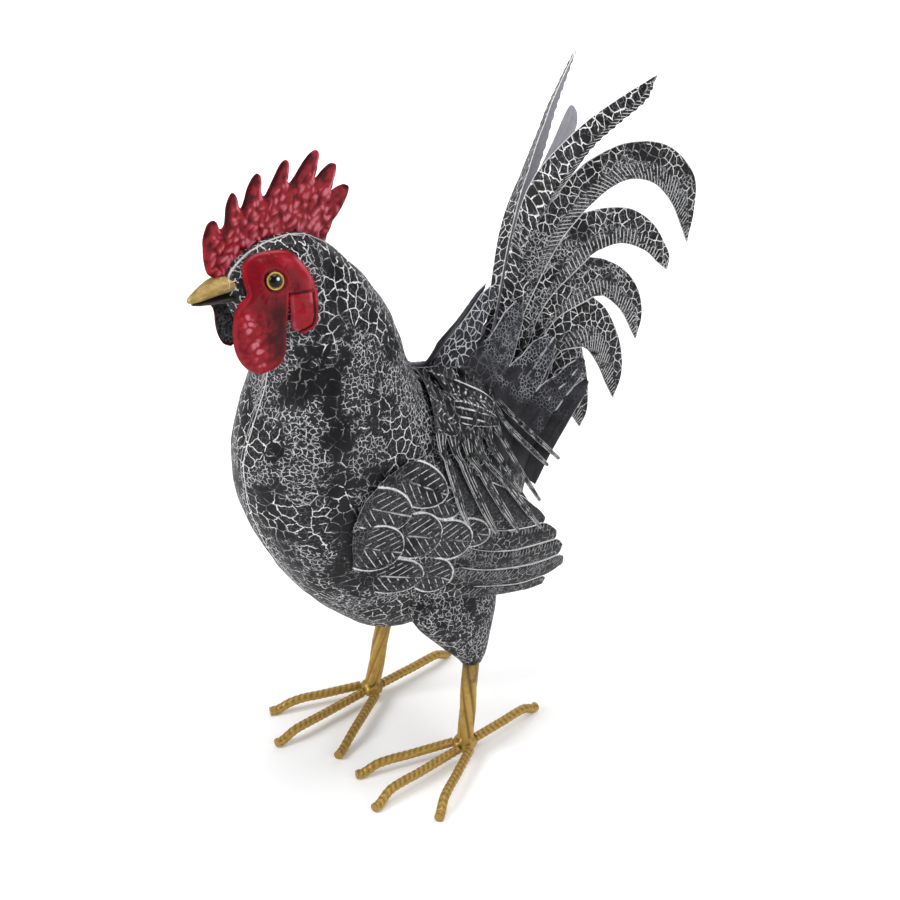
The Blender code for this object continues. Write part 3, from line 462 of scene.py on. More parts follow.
class Finish:
    """A material with one Principled shader, whose maths is written as expressions."""

    def __init__(self, name, folded=False, **constants):
        self.folded = folded
        self.material = bpy.data.materials.new(name)
        self.material.use_nodes = True
        self.tree = self.material.node_tree
        self.shader = self.tree.nodes["Principled BSDF"]
        for key, value in constants.items():
            self.shader.inputs[key.replace("_", " ")].default_value = value
        self.place = self.node("ShaderNodeTexCoord", output=3)

    def node(self, kind, settings=None, sockets=None, output=0):
        """Any node: its settings first, then its sockets by name or number, and one output."""
        made = self.tree.nodes.new(kind)
        for key, value in (settings or {}).items():
            setattr(made, key, value)
        for key, value in (sockets or {}).items():
            if isinstance(value, Value):
                self.tree.links.new(value.socket, made.inputs[key])
            else:
                made.inputs[key].default_value = value
        return Value(self, made.outputs[output])

    def field(self, name):
        return self.node("ShaderNodeAttribute", {"attribute_name": name}, output=2)

    def axis(self, number):
        return self.node("ShaderNodeSeparateXYZ", {}, {0: self.place}, number)

    def pair(self, first, second):
        return self.node("ShaderNodeCombineXYZ", {}, {0: first, 1: second})

    def noise(self, size, detail=2.0, roughness=0.5):
        """Smooth noise around 0.5, with a feature size in millimetres."""
        return self.node("ShaderNodeTexNoise", {}, {"Vector": self.place, "Scale": 1000 / size,
                                                    "Detail": detail, "Roughness": roughness})

    def mix(self, share, one, other):
        """Mixes two colours, each a value or (red, green, blue), or two vectors."""
        one, other = ((*side, 1) if isinstance(side, tuple) else side for side in (one, other))
        return self.node("ShaderNodeMix", {"data_type": "RGBA"}, {0: share, 6: one, 7: other}, 2)

    def laid_flat(self):
        """Two coordinates in millimetres: the fields u and v, or on a folded finish (y, z) where
        it faces sideways, (x, z) where turn passes 0.5 and (x, y) where rise passes 0.5."""
        if not self.folded:
            return self.pair(self.field("u"), self.field("v"))
        x, y, z = (self.axis(number) * 1000 for number in range(3))
        sway = (self.noise(7, 3.0) - 0.5) * 0.6
        turned = (self.field("turn") + sway).beyond(0.5)
        risen = (self.field("rise") + sway).beyond(0.5)
        wall = self.mix(turned, self.pair(y, z), self.pair(x + 400, z))
        return self.mix(risen, wall, self.pair(x, y + 700))

    def flat(self, size, amount):
        """The surface laid flat, moved by up to half the amount (millimetres) by noise."""
        cloud = self.node("ShaderNodeTexNoise", {}, {
            "Vector": self.place, "Scale": 1000 / size, "Detail": 3.0}, 1)
        shift = self.node("ShaderNodeVectorMath", {"operation": "SCALE"}, {0: cloud, 3: amount})
        return self.node("ShaderNodeVectorMath", {"operation": "ADD"},
                         {0: self.laid_flat(), 1: shift})

    def cracks(self, place, size, width, spread):
        """1 on the cracks between irregular cells of a size in millimetres. The half width is in
        millimetres too, and the spread field makes lines thicker or thinner."""
        edge = self.node("ShaderNodeTexVoronoi",
                         {"feature": "DISTANCE_TO_EDGE", "voronoi_dimensions": "2D"},
                         {"Vector": place, "Scale": 1 / size})
        return 1 - (edge / spread).above(width / size * 0.5, width / size * 1.2)

    def wire(self, **sockets):
        for key, value in sockets.items():
            self.tree.links.new(value.socket, self.shader.inputs[key.replace("_", " ")])

    def bump(self, height, distance, strength=1.0):
        self.wire(Normal=self.node("ShaderNodeBump", {}, {
            "Height": height, "Distance": distance, "Strength": strength}))


def crackle(finish, size):
    """White cracks in patches: a coarse net and a fine one, both broken into short branches by
    noise, with plain patches between. The field bias moves a place to the fine net or, below zero,
    to the coarse one, and the field bare keeps it plain. Gives the lines and the fine zone."""
    bias = finish.field("bias")
    zone = finish.noise(30, 2.0) + bias
    branch = finish.noise(3.0, 2.0, 0.6)
    wander = finish.noise(11, 2.0, 0.6)
    spread = branch * 1.3 + wander * 1.1 - 0.2 + (0 - bias).most(0) * 1.6
    coarse = finish.cracks(finish.flat(4.0, 0.58 * size), size, 0.25 if size == BODY_CELL else 0.21,
                           spread)
    fine = finish.cracks(finish.flat(2.2, 2.0), FINE_CELL, 0.18, spread)
    fine_zone = zone.above(0.42, 0.50)
    kept = (finish.noise(19, 3.0, 0.6) - finish.field("bare") * 0.5).above(0.40, 0.47)
    coarse = coarse * (branch - bias * 0.6).above(0.38, 0.46) * (1 - fine_zone * 0.75)
    coarse = coarse * (0.15 + 0.85 * kept.most(wander.above(0.45, 0.55)))
    fine = fine * branch.above(0.40, 0.47) * kept * (0.10 + 0.62 * fine_zone)
    return coarse.most(fine), fine_zone * kept


def charcoal_paint(name, feathered):
    """Charcoal paint with white cracks. On feathers the fields edge, rib, barb and barbed add the
    white rims, midribs and barbs that the pressed relief carries."""
    finish = Finish(name, folded=not feathered, Specular_IOR_Level=0.16)
    lines, fine_zone = crackle(finish, FEATHER_CELL if feathered else BODY_CELL)
    dust = finish.noise(14, 4.0, 0.65)
    speck = finish.noise(1.1, 3.0, 0.7)
    shaky = (dust - 0.5) * 0.9
    if feathered:
        edge, rib = finish.field("edge"), finish.field("rib")
        barb, barbed = finish.field("barb"), finish.field("barbed")
        inner = finish.field("inner")
        rim = (1 - (edge + shaky * 0.5).above(0.25, 0.62)) * 0.95
        midrib = (1 - (rib + shaky).above(0.15, 0.45)) * 0.6
        midrib = midrib * finish.noise(6.0, 2.0).above(0.36, 0.5)
        wave = (barb + shaky * 0.3).part()
        stroke = (1 - (wave.least(1 - wave) * finish.field("pitch")).above(0.16, 0.38)) * barbed
        stroke = stroke * finish.noise(3.6, 2.0).above(0.38, 0.48) * 0.85
        ridged = finish.field("ridged")
        ridge = (1 - (wave - 0.5).most(0.5 - wave).above(0.05, 0.15)) * ridged
        ridge = ridge * finish.noise(5.0, 2.0).above(0.42, 0.56) * 0.6
        # The field plain takes cracks away: plainer scales and primaries, and on the wing under the
        # saddle fingers it makes a painted shadow
        lines = lines * (1 - ridged * 0.8) * (1 - finish.field("plain") * 0.9) * (1 - barbed * 0.5)
        lines = lines.most(stroke).most(ridge).most(rim * (1 - ridged * 0.3)).most(midrib)
    else:
        seam = finish.field("seam") + shaky * 0.6
        lines = lines.most((1 - (seam - 1.1).most(1.1 - seam).above(0.12, 0.4)) * 0.8)
    ground = finish.mix(dust.above(0.35, 0.7), (0.003, 0.003, 0.004), (0.014, 0.014, 0.017))
    ground = finish.mix(fine_zone * 0.5, ground, (0.030, 0.030, 0.036))
    ground = finish.mix(speck.above(0.60, 0.75) * 0.3, ground, (0.09, 0.09, 0.10))
    chalk = finish.mix(speck.above(0.3, 0.6), (0.42, 0.42, 0.44), (0.80, 0.80, 0.80))
    colour = finish.mix(lines, ground, chalk)
    if feathered:
        lavender = finish.mix(finish.noise(6, 3.0), (0.26, 0.25, 0.29), (0.42, 0.41, 0.46))
        colour = finish.mix(inner * 0.92, colour, lavender)
    finish.wire(Base_Color=colour, Roughness=0.42 + dust * 0.2 + lines * 0.2)
    finish.bump(speck * 0.25 - lines * 0.5 + dust * 0.5, 0.00045, 0.7)
    return finish.material


def dark_sheet_paint():
    """Plain dark sheet with bluish fine cracks on the upper feathers and long pale streaks."""
    finish = Finish("dark sheet", Specular_IOR_Level=0.18)
    edge, rib = finish.field("edge"), finish.field("rib")
    streak, web = finish.field("streak"), finish.field("web")
    inner = finish.field("inner")
    dust = finish.noise(12, 4.0, 0.65)
    wander = finish.noise(7, 3.0, 0.6)
    fine = finish.cracks(finish.flat(3.0, 1.8), 2.0, 0.16, wander * 1.9 + 0.05) * web
    rim = (1 - (edge + (dust - 0.5) * 0.8).above(0.3, 0.7)) * wander.above(0.36, 0.5)
    bold = finish.field("bold")
    long_lines = (1 - streak.part().above(0.05, 0.13)) * wander.above(0.40, 0.52) * bold * 0.7
    wide_net = finish.cracks(finish.flat(4.0, 3.0), 4.6, 0.26, wander * 1.8 + 0.1) * bold
    grain = finish.noise(5.5, 3.0).above(0.40, 0.52)
    crease = (1 - rib.above(0.2, 0.55)) * wander.above(0.42, 0.52)
    lines = (fine * grain * 0.55).most(rim * 0.8).most(crease * 0.8).most(long_lines).most(wide_net)
    ground = finish.mix(dust.above(0.3, 0.7), (0.004, 0.004, 0.006), (0.020, 0.020, 0.025))
    colour = finish.mix(lines * 0.9, ground, (0.56, 0.57, 0.63))
    colour = finish.mix(inner * 0.7, colour, (0.10, 0.10, 0.12))
    finish.wire(Base_Color=colour, Roughness=0.36 + dust * 0.2)
    finish.bump(dust - lines * 0.5, 0.0004, 0.6)
    return finish.material


def red_enamel(name, speckled_back):
    """Deep glossy red with painted light from the relief field: painted shade in its hollows and a
    painted pink highlight on its heights.
    """
    finish = Finish(name, Coat_IOR=1.45, Coat_Roughness=0.14, Specular_IOR_Level=0.1)
    relief = finish.field("relief")
    dust = finish.noise(9, 4.0, 0.6)
    # painted shade: dark red where the relief field is low
    colour = finish.mix(relief.above(0.05, 0.55), (0.045, 0.0006, 0.003), (0.27, 0.0028, 0.011))
    colour = finish.mix(dust.above(0.50, 0.75) * 0.4, colour, (0.10, 0.0012, 0.006))
    # painted highlight: pink where the relief field is high
    colour = finish.mix(relief.above(0.58, 1.0) * 0.7, colour, (0.62, 0.17, 0.23))
    if speckled_back:
        back = finish.field("inner") * finish.field("edge").above(0.5, 1.6)
        speck = finish.noise(1.6, 3.0, 0.7)
        grey = finish.mix(speck.above(0.4, 0.62), (0.02, 0.02, 0.023), (0.17, 0.17, 0.18))
        colour = finish.mix(back, colour, grey)
    finish.wire(Base_Color=colour, Roughness=0.30 + dust * 0.14, Coat_Weight=0.08 + relief * 0.30)
    finish.bump(dust + finish.noise(1.3, 2.0) * 0.3, 0.0006, 0.5)
    return finish.material


def gold_paint(name, darker_top):
    """Gold paint over rod, with painted shade in the grooves from the relief field; the legs grow
    brown-black towards the top, near the thigh, and in scattered patches.
    """
    finish = Finish(name, IOR=1.5)
    relief = finish.field("relief")
    dust = finish.noise(3.2, 4.0, 0.65)
    # painted shade: dark brown where the relief field is low, in the grooves
    colour = finish.mix(relief.above(0.05, 0.75), (0.13, 0.075, 0.012), (0.46, 0.285, 0.062))
    colour = finish.mix(dust.above(0.50, 0.68) * 0.5, colour, (0.24, 0.135, 0.024))
    if darker_top:
        # darker towards the top of the legs, near the thigh, plus scattered dark patches
        height = finish.axis(2)
        darkening = height.above(0.040, 0.064) * 0.55 + finish.noise(7, 3.0).above(0.55, 0.68) * 0.35
        colour = finish.mix(darkening.least(0.8), colour, (0.05, 0.032, 0.012))
    finish.wire(Base_Color=colour, Roughness=0.34 + dust * 0.22, Metallic=0.35 + relief * 0.2)
    finish.bump(dust, 0.0004, 0.6)
    return finish.material


def beak_paint():
    """Gold paint of the beak, with pale cracks near the face and painted shade underneath from the
    field shade.
    """
    finish = Finish("beak gold", Metallic=0.35)
    dust = finish.noise(3.0, 4.0, 0.65)
    wander = finish.noise(6, 2.0)
    lines = finish.cracks(finish.flat(3.0, 2.0), 3.4, 0.22, wander * 1.8 + 0.1)
    along = finish.axis(1).above(-0.139, -0.130)
    shade = finish.field("shade")
    colour = finish.mix(dust.above(0.35, 0.65), (0.25, 0.165, 0.045), (0.40, 0.275, 0.085))
    colour = finish.mix(lines * along, colour, (0.60, 0.54, 0.38))
    # painted shade: near black under the upper beak and over the lower mandible
    colour = finish.mix(shade, colour, (0.03, 0.028, 0.026))
    finish.wire(Base_Color=colour, Roughness=0.36 + dust * 0.2)
    finish.bump(dust - lines * 0.3, 0.0004, 0.6)
    return finish.material


def floor_paint():
    """Plain pale floor that stays white far from the lamps: its glow grows with the distance."""
    finish = Finish("floor", Base_Color=(0.9, 0.9, 0.9, 1), Roughness=0.9, Emission_Strength=1.0)
    distance = finish.node("ShaderNodeVectorMath", {"operation": "LENGTH"}, {0: finish.place}, 1)
    finish.wire(Emission_Color=finish.mix(distance.above(0.2, 1.6), (0.12, 0.12, 0.12),
                                          (0.8, 0.8, 0.8)))
    return finish.material


def eye_paint():
    """Gold ring between two dark outlines, round a glossy black pupil: read from the radius. A
    painted highlight in bluish white sits on the pupil.
    """
    finish = Finish("eye", Roughness=0.10, Specular_IOR_Level=0.2)
    radius = finish.field("radius")
    gold = radius.above(0.66, 0.70) * (1 - radius.above(0.90, 0.95))
    colour = finish.mix(gold, (0.002, 0.002, 0.003), (0.45, 0.30, 0.07))
    # painted highlight: a bluish-white glint on the pupil
    colour = finish.mix(1 - finish.field("painted_highlight").above(0.5, 1.1), colour, (0.60, 0.68, 0.80))
    finish.wire(Base_Color=colour, Metallic=gold * 0.5)
    return finish.material


# ---- Pieces ----

def body_shell():
    """Body: rings of middle + reach * cos(a) and half width * sin(a), pushed in by soft lumps, with
    a raised seam along the chest."""
    rings, sides = 210, 180
    rails = smooth_curve(BODY_STATIONS, rings)
    turn = round_angles(sides)
    angle = turn - 0.17 * np.sin(2 * turn)
    middle, reach = (rails[:, :2] + rails[:, 2:4]) / 2, (rails[:, :2] - rails[:, 2:4]) / 2
    points = np.zeros((rings, sides, 3))
    points[..., 0] = rails[:, 4, None] * np.sin(angle)
    points[..., 1:] = middle[:, None] + reach[:, None] * np.cos(angle)[None, :, None]
    normal = ring_facing(points)
    outward = ((points - points.mean(axis=1, keepdims=True)) * normal).sum(-1)
    normal *= np.where(outward < 0, -1, 1)[..., None]
    height = 0.38 * lumps(points, 26, 3) + 0.16 * lumps(points, 11, 5) - 0.45
    seam = bell(points[..., 0], 0, 1.3) * (np.cos(angle) > 0)[None]
    height += 0.75 * seam * smooth_step(rails[:, 1], 120, 150)[:, None]
    fade = np.minimum(np.arange(rings), np.arange(rings)[::-1])[:, None] / 12
    points += normal * (height * np.clip(fade, 0, 1))[..., None]
    front = (np.cos(angle) > 0)[None] & (rails[:, 1, None] > 120) & (rails[:, 1, None] < 262)
    crown = (np.cos(angle) < 0)[None] & (points[..., 1] < -72) & (points[..., 2] > 308)
    seam = np.where(front, np.abs(points[..., 0]), FAR)
    seam = np.where(crown, (np.abs(points[..., 0]) - 2.0) * 0.55, seam)
    y, z = points[..., 1], points[..., 2]
    fields = {key: sum(amount * bell(y, at_y, wide) * bell(z, at_z, tall)
                       for at_y, at_z, wide, tall, amount in patches)
              for key, patches in BODY_PATCHES.items()}
    fields["seam"] = seam
    fields["turn"], fields["rise"] = facing_ways(points)
    return [(points, fields)]


def comb_plate():
    """Comb: each row runs from the crown to the spiked edge. Half thickness is 1.7 * sqrt(1 -
    (1 - d / 2.9)^2) for the distance d to the edge, with pebbles below the spikes."""
    edge = smooth_curve(COMB_EDGE, 420)
    back = BODY_RAILS[:, 2:4]
    crown = back[(back[:, 0] > -134.5) & (back[:, 0] < -73)]
    crown = crown[np.argsort(crown[:, 0])] - np.array([0, 0.8])
    base = smooth_curve(np.vstack([edge[:1], crown[::5], edge[-1:]]), 400)
    progress = np.maximum.accumulate(edge[:, 0])
    progress = (progress - progress[0]) / (progress[-1] - progress[0])
    progress = mixed(progress, np.linspace(0, 1, len(edge)), 0.45)
    kernel = np.hanning(15) / np.hanning(15).sum()
    progress = np.convolve(np.pad(progress, 7, mode="edge"), kernel, mode="valid")
    root = base[np.clip((progress * 399).round().astype(int), 0, 399)]
    share = 1 - (1 - np.linspace(0, 1, 40)) ** 1.3
    plane = root[:, None] + (edge - root)[:, None] * share[None, :, None]
    away = distance_to(plane, edge)
    half = COMB_HALF * np.sqrt(1 - (1 - np.clip(away / 2.9, 0.03, 1)) ** 2)
    soft = smooth_step(away, 0.4, 2.5)
    stones = pebbles(plane + 1.2 * lumps(plane, 9, 2)[..., None], 4.0, 11)
    height = 0.75 * stones * (1 - 0.6 * smooth_step(share, 0.6, 0.85))[None]
    height += 0.2 * lumps(plane, 6, 7)
    half = half + soft * (height - 0.25)
    front = np.concatenate([half[..., None], plane], axis=-1)
    rear = front * np.array([-1, 1, 1])
    points = np.concatenate([front, rear[:, ::-1]], axis=1)
    # flank: how steeply the spiked edge falls; it places a painted highlight along the rear flank
    # of each spike and painted shade on its front flank
    heading = np.gradient(edge, axis=0)
    fall = np.convolve(-heading[:, 1] / np.linalg.norm(heading, axis=1), kernel, mode="same")
    flank = (fall * smooth_step(edge[:, 1] - edge[:, 0] * 0.2, 352, 364))[:, None]
    # The relief field is painted light: lighter on the pebble tops, painted shade near the rim
    relief = 0.26 + 0.85 * height - 0.10 * (1 - soft) + 0.12 * lumps(plane, 16, 4)
    relief += 0.9 * np.clip(flank, 0, 1) * bell(away, 1.2, 1.0)
    relief = np.clip(relief - 0.35 * np.clip(-flank, 0, 1) * np.exp(-away / 3.0), 0, 1)
    return [(points, {"relief": np.concatenate([relief, relief[:, ::-1]], axis=1)})]


def mandible(sections, crest, dark):
    """Mandible: sections (y, z, half width, half height) joined by a smooth curve. Each is an oval
    whose upper half is drawn in towards a ridge by the crest. The painted shade runs from the first
    number of dark to the second between its two depths below the middle."""
    rows = smooth_curve(sections, 60)
    angle = round_angles(44)
    points = np.zeros((60, 44, 3))
    narrow = 1 - crest * np.clip(np.sin(angle), 0, 1) ** 2
    points[..., 0] = rows[:, 2, None] * np.cos(angle) * narrow
    points[..., 1] = rows[:, 0, None]
    points[..., 2] = rows[:, 1, None] + rows[:, 3, None] * np.sin(angle)
    points[..., 1:] += 0.10 * lumps(points, 5, 8)[..., None]
    below = smooth_step(rows[:, 1, None] - points[..., 2], *dark[2:])
    return [(points, {"shade": mixed(dark[0], dark[1], below)})]


def face_surface(y, z):
    """The face plate hugs the cheek, leans in over the brow and hangs free below the beak."""
    hanging = 16.1 + 0.21 * (y + 123) - 0.45 * np.clip(z - 298, 0, None)
    return larger(hanging, body_half_width(y, z) + 1.1, 1.5)


def face_grid(left, right, columns, front_edge, rear_edge):
    """Patch of the face plate between two edges (rows, 2), puffed up by the distance from its rim
    and pressed with wrinkles round the eye and pebbles on the wattle."""
    mix = np.linspace(0, 1, columns)[None, :, None]
    plane = mixed(left[:, None], right[:, None], mix)
    y, z = plane[..., 0], plane[..., 1]
    away = np.minimum(distance_to(plane, front_edge), distance_to(plane, rear_edge))
    wattle = 1 - smooth_step(z, 287, 298)
    puff = (1.35 + 1.5 * wattle) * (1 - np.exp(-away / 3.4))
    gap = np.hypot(y - EYE_PLACE[0], z - EYE_PLACE[1])
    around = np.arctan2(z - EYE_PLACE[1], y - EYE_PLACE[0])
    wrinkle = np.sin(23 * around + 1.2 * np.sin(3 * around)) * bell(gap, 8.6, 2.2)
    socket = bell(gap, 6.3, 1.1) - 0.5 * bell(gap, 4.6, 1.2)
    stones = pebbles(plane + 0.8 * lumps(plane, 8, 4)[..., None], 3.5, 5)
    soft = smooth_step(away, 0.6, 2.4)
    rolled = 0.35 * bell(away, 1.0, 0.7)
    left = wattle * smooth_step(-y, 114, 122)
    height = 0.45 * stones * (0.08 + 0.92 * left) + 0.07 * wrinkle + 0.18 * lumps(plane, 7, 9)
    height = soft * (height + 0.4 * socket) + rolled
    middle = np.stack([face_surface(y, z) + PROUD + puff + height, y, z], axis=-1)
    # The relief field is painted light: painted highlights along the wattle and brow lines, on the
    # pebbles and on the rolled rim, painted shade over the rear of the wattle and in the hollows
    wattle_highlight, brow_highlight, dim = (bell(distance_to(plane, np.array(line)), 0, reach) for line, reach in
                        ((WATTLE_HIGHLIGHT, 3.0), (BROW_HIGHLIGHT, 2.4), (WATTLE_SHADE, 5.0)))
    relief = 0.28 + 0.18 * height + 0.60 * wattle_highlight * (0.3 + 0.9 * stones) + 0.40 * brow_highlight - 0.24 * dim
    relief += 0.10 * (stones - 0.5) * (plane[..., 1] < 292)
    relief = np.clip(relief + 0.4 * rolled, 0, 1)
    return shell(middle, SHEET, {"relief": relief, "edge": away})


def face_plate(side):
    """Face plate: brow and wattle in one patch, ear lobe in a second that parts at the slot. The
    wattle of the right plate is shorter, narrower and bent further in."""
    joined, free = 50, 90
    front = smooth_curve(FACE_FRONT, joined + free)
    slot = smooth_curve(FACE_SLOT, joined)
    rear = smooth_curve([FACE_SLOT[-1]] + WATTLE_REAR, free + 1)[1:]
    tongue = smooth_curve([FACE_SLOT[-1]] + LOBE_FRONT, free + 1)[1:]
    lobe_rear = smooth_curve(LOBE_REAR, joined + free)
    middle = np.concatenate([slot, rear])
    lobe_front = np.concatenate([slot, tongue])
    for line in (front, middle, lobe_front, lobe_rear):
        line[0] += (np.array([-113.5, 319.6]) - line[0]) * 0.5
    front[-1], middle[-1] = front[-1] + (-0.3, 0.1), middle[-1] + (0.3, 0.1)
    lobe_front[-1], lobe_rear[-1] = lobe_front[-1] + (-0.2, 0.05), lobe_rear[-1] + (0.2, 0.05)
    lobe_front[:joined, 0] -= 0.4
    rim = np.concatenate([front, rear[::-1]])
    lobe_rim = np.concatenate([tongue, lobe_rear[::-1]])
    grids = [face_grid(front, middle, 56, rim, lobe_rim),
             face_grid(lobe_front, lobe_rear, 24, rim, lobe_rim)]
    points, fields = grids[1]
    rear_gap = distance_to(points[..., 1:], lobe_rear)
    low = 1 - smooth_step(points[..., 2], 299, 301)
    groove = bell(rear_gap, 2.6, 0.6) * low
    groove = np.maximum(groove, bell(points[..., 2], 300.4, 0.5) * (rear_gap > 2.2))
    points[..., 0] -= 0.7 * groove
    # painted shade in the groove of the ear lobe, and a lighter lower lobe inside it
    relief = fields["relief"] - 0.6 * groove + 0.25 * low * (rear_gap > 3.2)
    fields["relief"] = np.clip(relief, 0, 1)
    if side < 0:
        points = grids[0][0]
        hang = np.clip(298 - points[..., 2], 0, None)
        points[..., 2] += 0.14 * hang
        points[..., 1] += 0.22 * (-117 - points[..., 1]) * smooth_step(hang, 0, 10)
        points[..., 0] -= 5.5 * smooth_step(hang, 0, 14)
    return grids


def eye_dome():
    """Eye: a profile (radius, height) turned round the normal of the face: a ring, a groove and the
    dome of the pupil. A second field places a painted highlight up and to one side of the pupil's
    centre."""
    y, z = EYE_PLACE
    corners = [np.array([face_surface(np.array(b), np.array(c)), b, c])
               for b, c in ((y, z), (y + 1.0, z), (y, z + 1.0))]
    normal = np.cross(corners[1] - corners[0], corners[2] - corners[0])
    normal *= np.sign(normal[0]) / np.linalg.norm(normal)
    seat = corners[0] + np.array([1.2, 0, 0]) + normal * 1.1
    profile = smooth_curve([(4.6, -0.6), (4.7, 0.6), (4.45, 1.15), (4.0, 1.35), (3.55, 1.15),
                            (3.35, 0.95), (3.1, 1.25), (2.5, 1.85), (1.5, 2.35), (0.7, 2.52),
                            (0.05, 2.56)], 46)
    angle = round_angles(48)
    across = np.cross(normal, (0, 0, 1.0))
    across /= np.linalg.norm(across)
    up = np.cross(across, normal)
    radius, height = profile[:, 0, None, None], profile[:, 1, None, None]
    points = seat + radius * (np.cos(angle)[None, :, None] * across
                              + np.sin(angle)[None, :, None] * up) + height * normal
    # painted highlight: distance to the glint's centre on the pupil
    painted_highlight = np.hypot(radius[..., 0] * np.cos(angle) + 1.2, radius[..., 0] * np.sin(angle) - 0.9)
    return [(points, {"radius": profile[:, :1] / EYE_RADIUS, "painted_highlight": painted_highlight})]


def wing_surface(y, z):
    """The wing is a shallow dish that leans on the flank."""
    dish = 54.9 - 0.0024 * (y - 8) ** 2 - 0.003 * (z - 150) ** 2
    return larger(body_half_width(y, z) + 1.2, dish, 3.0)


def scale_relief(plane, fields, base, scales, thin):
    """Lays scale feathers over a grid, the lowest first. Each is an ellipse whose centre is at 0.43
    of its length; inside it the height rises towards the tip, and rim, rib and barbs are its own.
    The rim line gets thinner as the number thin grows."""
    top = base
    for root, tip, wide, lift, pitch in scales:
        root, tip = np.array(root, float), np.array(tip, float)
        length = np.linalg.norm(tip - root)
        axis = (tip - root) / length
        along = (plane - root) @ axis
        across = (plane - root) @ np.array([-axis[1], axis[0]])
        semi = 0.57 * length
        u, v = (along - 0.43 * length) / semi, across / wide
        level = np.maximum(np.hypot(u, v), 1e-6)
        depth = (1 - level) * level / np.maximum(np.hypot(u / semi, v / wide), 1e-6)
        bend = along - 0.95 * np.abs(across) - 0.02 * across**2
        lengthwise = pitch < 2.5
        barb = (across if lengthwise else bend) / pitch
        stroke = smooth_step(np.abs((barb % 1.0) * 2 - 1), 0.5, 1.0)
        own = lift + 0.9 * np.clip(along / length, 0, 1) - 0.18 * stroke
        own += 0.3 * bell(across, 0, 0.7)
        on_top = depth > 0
        top = np.where(on_top, own, top)
        inside = smooth_step(depth, 1.7, 2.6) * smooth_step(np.abs(across), 0.6, 1.4)
        inside = inside * smooth_step(along, 0.12 * length, 0.3 * length)
        start = 2.5 * smooth_step(-along, -0.25 * length, 0)
        rim = np.abs(depth) * thin + start
        near = (depth > -1.6) & (depth <= 0)
        fields["edge"] = np.where(on_top, rim, np.where(near, np.minimum(rim, fields["edge"]),
                                                        fields["edge"]))
        fields["rib"] = np.where(on_top, np.abs(across) + FAR * lengthwise + start, fields["rib"])
        fields["barb"] = np.where(on_top, barb, fields["barb"])
        fields["barbed"] = np.where(on_top, inside, fields["barbed"])
        fields["plain"] = np.where(on_top, 0.85, fields["plain"])
        fields["pitch"] = np.where(on_top, 0.7 * pitch, fields["pitch"])
    return top


def wing_plate():
    """Wing: five long feathers side by side, each ending in a half ellipse: end + (tip - end) *
    sin(a) + (edge - end) * cos(a). Scale feathers lie over the front."""
    rows, tip_rows, columns = 136, 22, 30
    grids = []
    seams = [smooth_curve(seam, rows) for seam in WING_SEAMS]
    starts = np.array([seam[0] for seam in WING_SEAMS], float)
    front = smooth_curve(starts, 600)
    knots = run_along(starts)
    knots = knots / knots[-1]
    for index, tip in enumerate(WING_TIPS):
        upper, lower = seams[index], seams[index + 1]
        end = (upper[-1] + lower[-1]) / 2
        swing = np.linspace(0, 0.485 * np.pi, tip_rows + 1)[1:, None]
        edges = [np.vstack([seam, end + (np.array(tip) - end) * np.sin(swing)
                            + (seam[-1] - end) * np.cos(swing)]) for seam in (upper, lower)]
        v = np.linspace(0, 1, columns)
        plane = mixed(edges[0][:, None], edges[1][:, None], v[None, :, None])
        where = mixed(knots[index], knots[index + 1], v) * 599
        bulge = front[where.round().astype(int)] - plane[0]
        plane += bulge[None] * (1 - smooth_step(np.arange(len(plane)), 0, 50))[:, None, None]
        y, z = plane[..., 0], plane[..., 1]
        wide = np.linalg.norm(edges[1] - edges[0], axis=1)[:, None] / 2
        across = np.abs(2 * v - 1)[None] * wide
        centre = (edges[0] + edges[1]) / 2
        run = run_along(centre)
        rear = smooth_step(run, 44, 66)[:, None]
        drop = (v * 2)[None] * wide
        barb = (run[:, None] + 0.8 * drop) / 2.6
        # painted shadow: under the saddle fingers the wing is kept plain, without cracks or barbs,
        # so it stays dark
        shade = smooth_step(z - (167 - 0.45 * (y + 29)), -4, 5) * smooth_step(y, -44, -34)
        barbed = 0.45 * rear * smooth_step(drop, 0.8, 1.6) * (1 - smooth_step(drop, 3.5, 6))
        barbed = barbed * (1 - shade)
        fields = {"edge": drop + FAR * (1 - rear), "rib": FAR, "barb": barb, "barbed": barbed,
                  "ridged": 0.0, "plain": np.maximum(shade, 0.55 * rear), "pitch": 2.4}
        height = 1.1 * (1 - (across / np.maximum(wide, 0.1)) ** 2) + 0.7 * (1 - v)[None]
        height = height * (0.1 + 0.9 * rear) + 0.10 * np.abs((barb % 1) * 2 - 1) * barbed - 0.4
        height = scale_relief(plane, fields, height, WING_SCALES, 0.85)
        middle = np.stack([wing_surface(y, z) + PROUD + height, y, z], axis=-1)
        back = {"edge": FAR, "rib": FAR, "barbed": 0.0}
        grids.append(shell(middle, SHEET, fields, back))
    return grids


def tail_point(run, z, fold):
    """A point of the tail plate: run along its slant, sunk by the fold towards the mid-plane."""
    slant = math.atan(TAIL_SPREAD)
    y = TAIL_START[1] + run * math.cos(slant)
    x = TAIL_START[0] + run * math.sin(slant) - fold
    return np.stack([larger(x, body_half_width(y, z) + 0.8, 1.0), y, z], axis=-1)


def joined_edge(seam, free, joined, rows):
    """Edge of a tail feather: its seam in the joined rows, then its free edge to the tip."""
    if not joined:
        return smooth_curve(list(seam) + list(free), rows)
    return np.concatenate([smooth_curve(seam, joined),
                           smooth_curve([seam[-1]] + list(free), rows - joined + 1)[1:]])


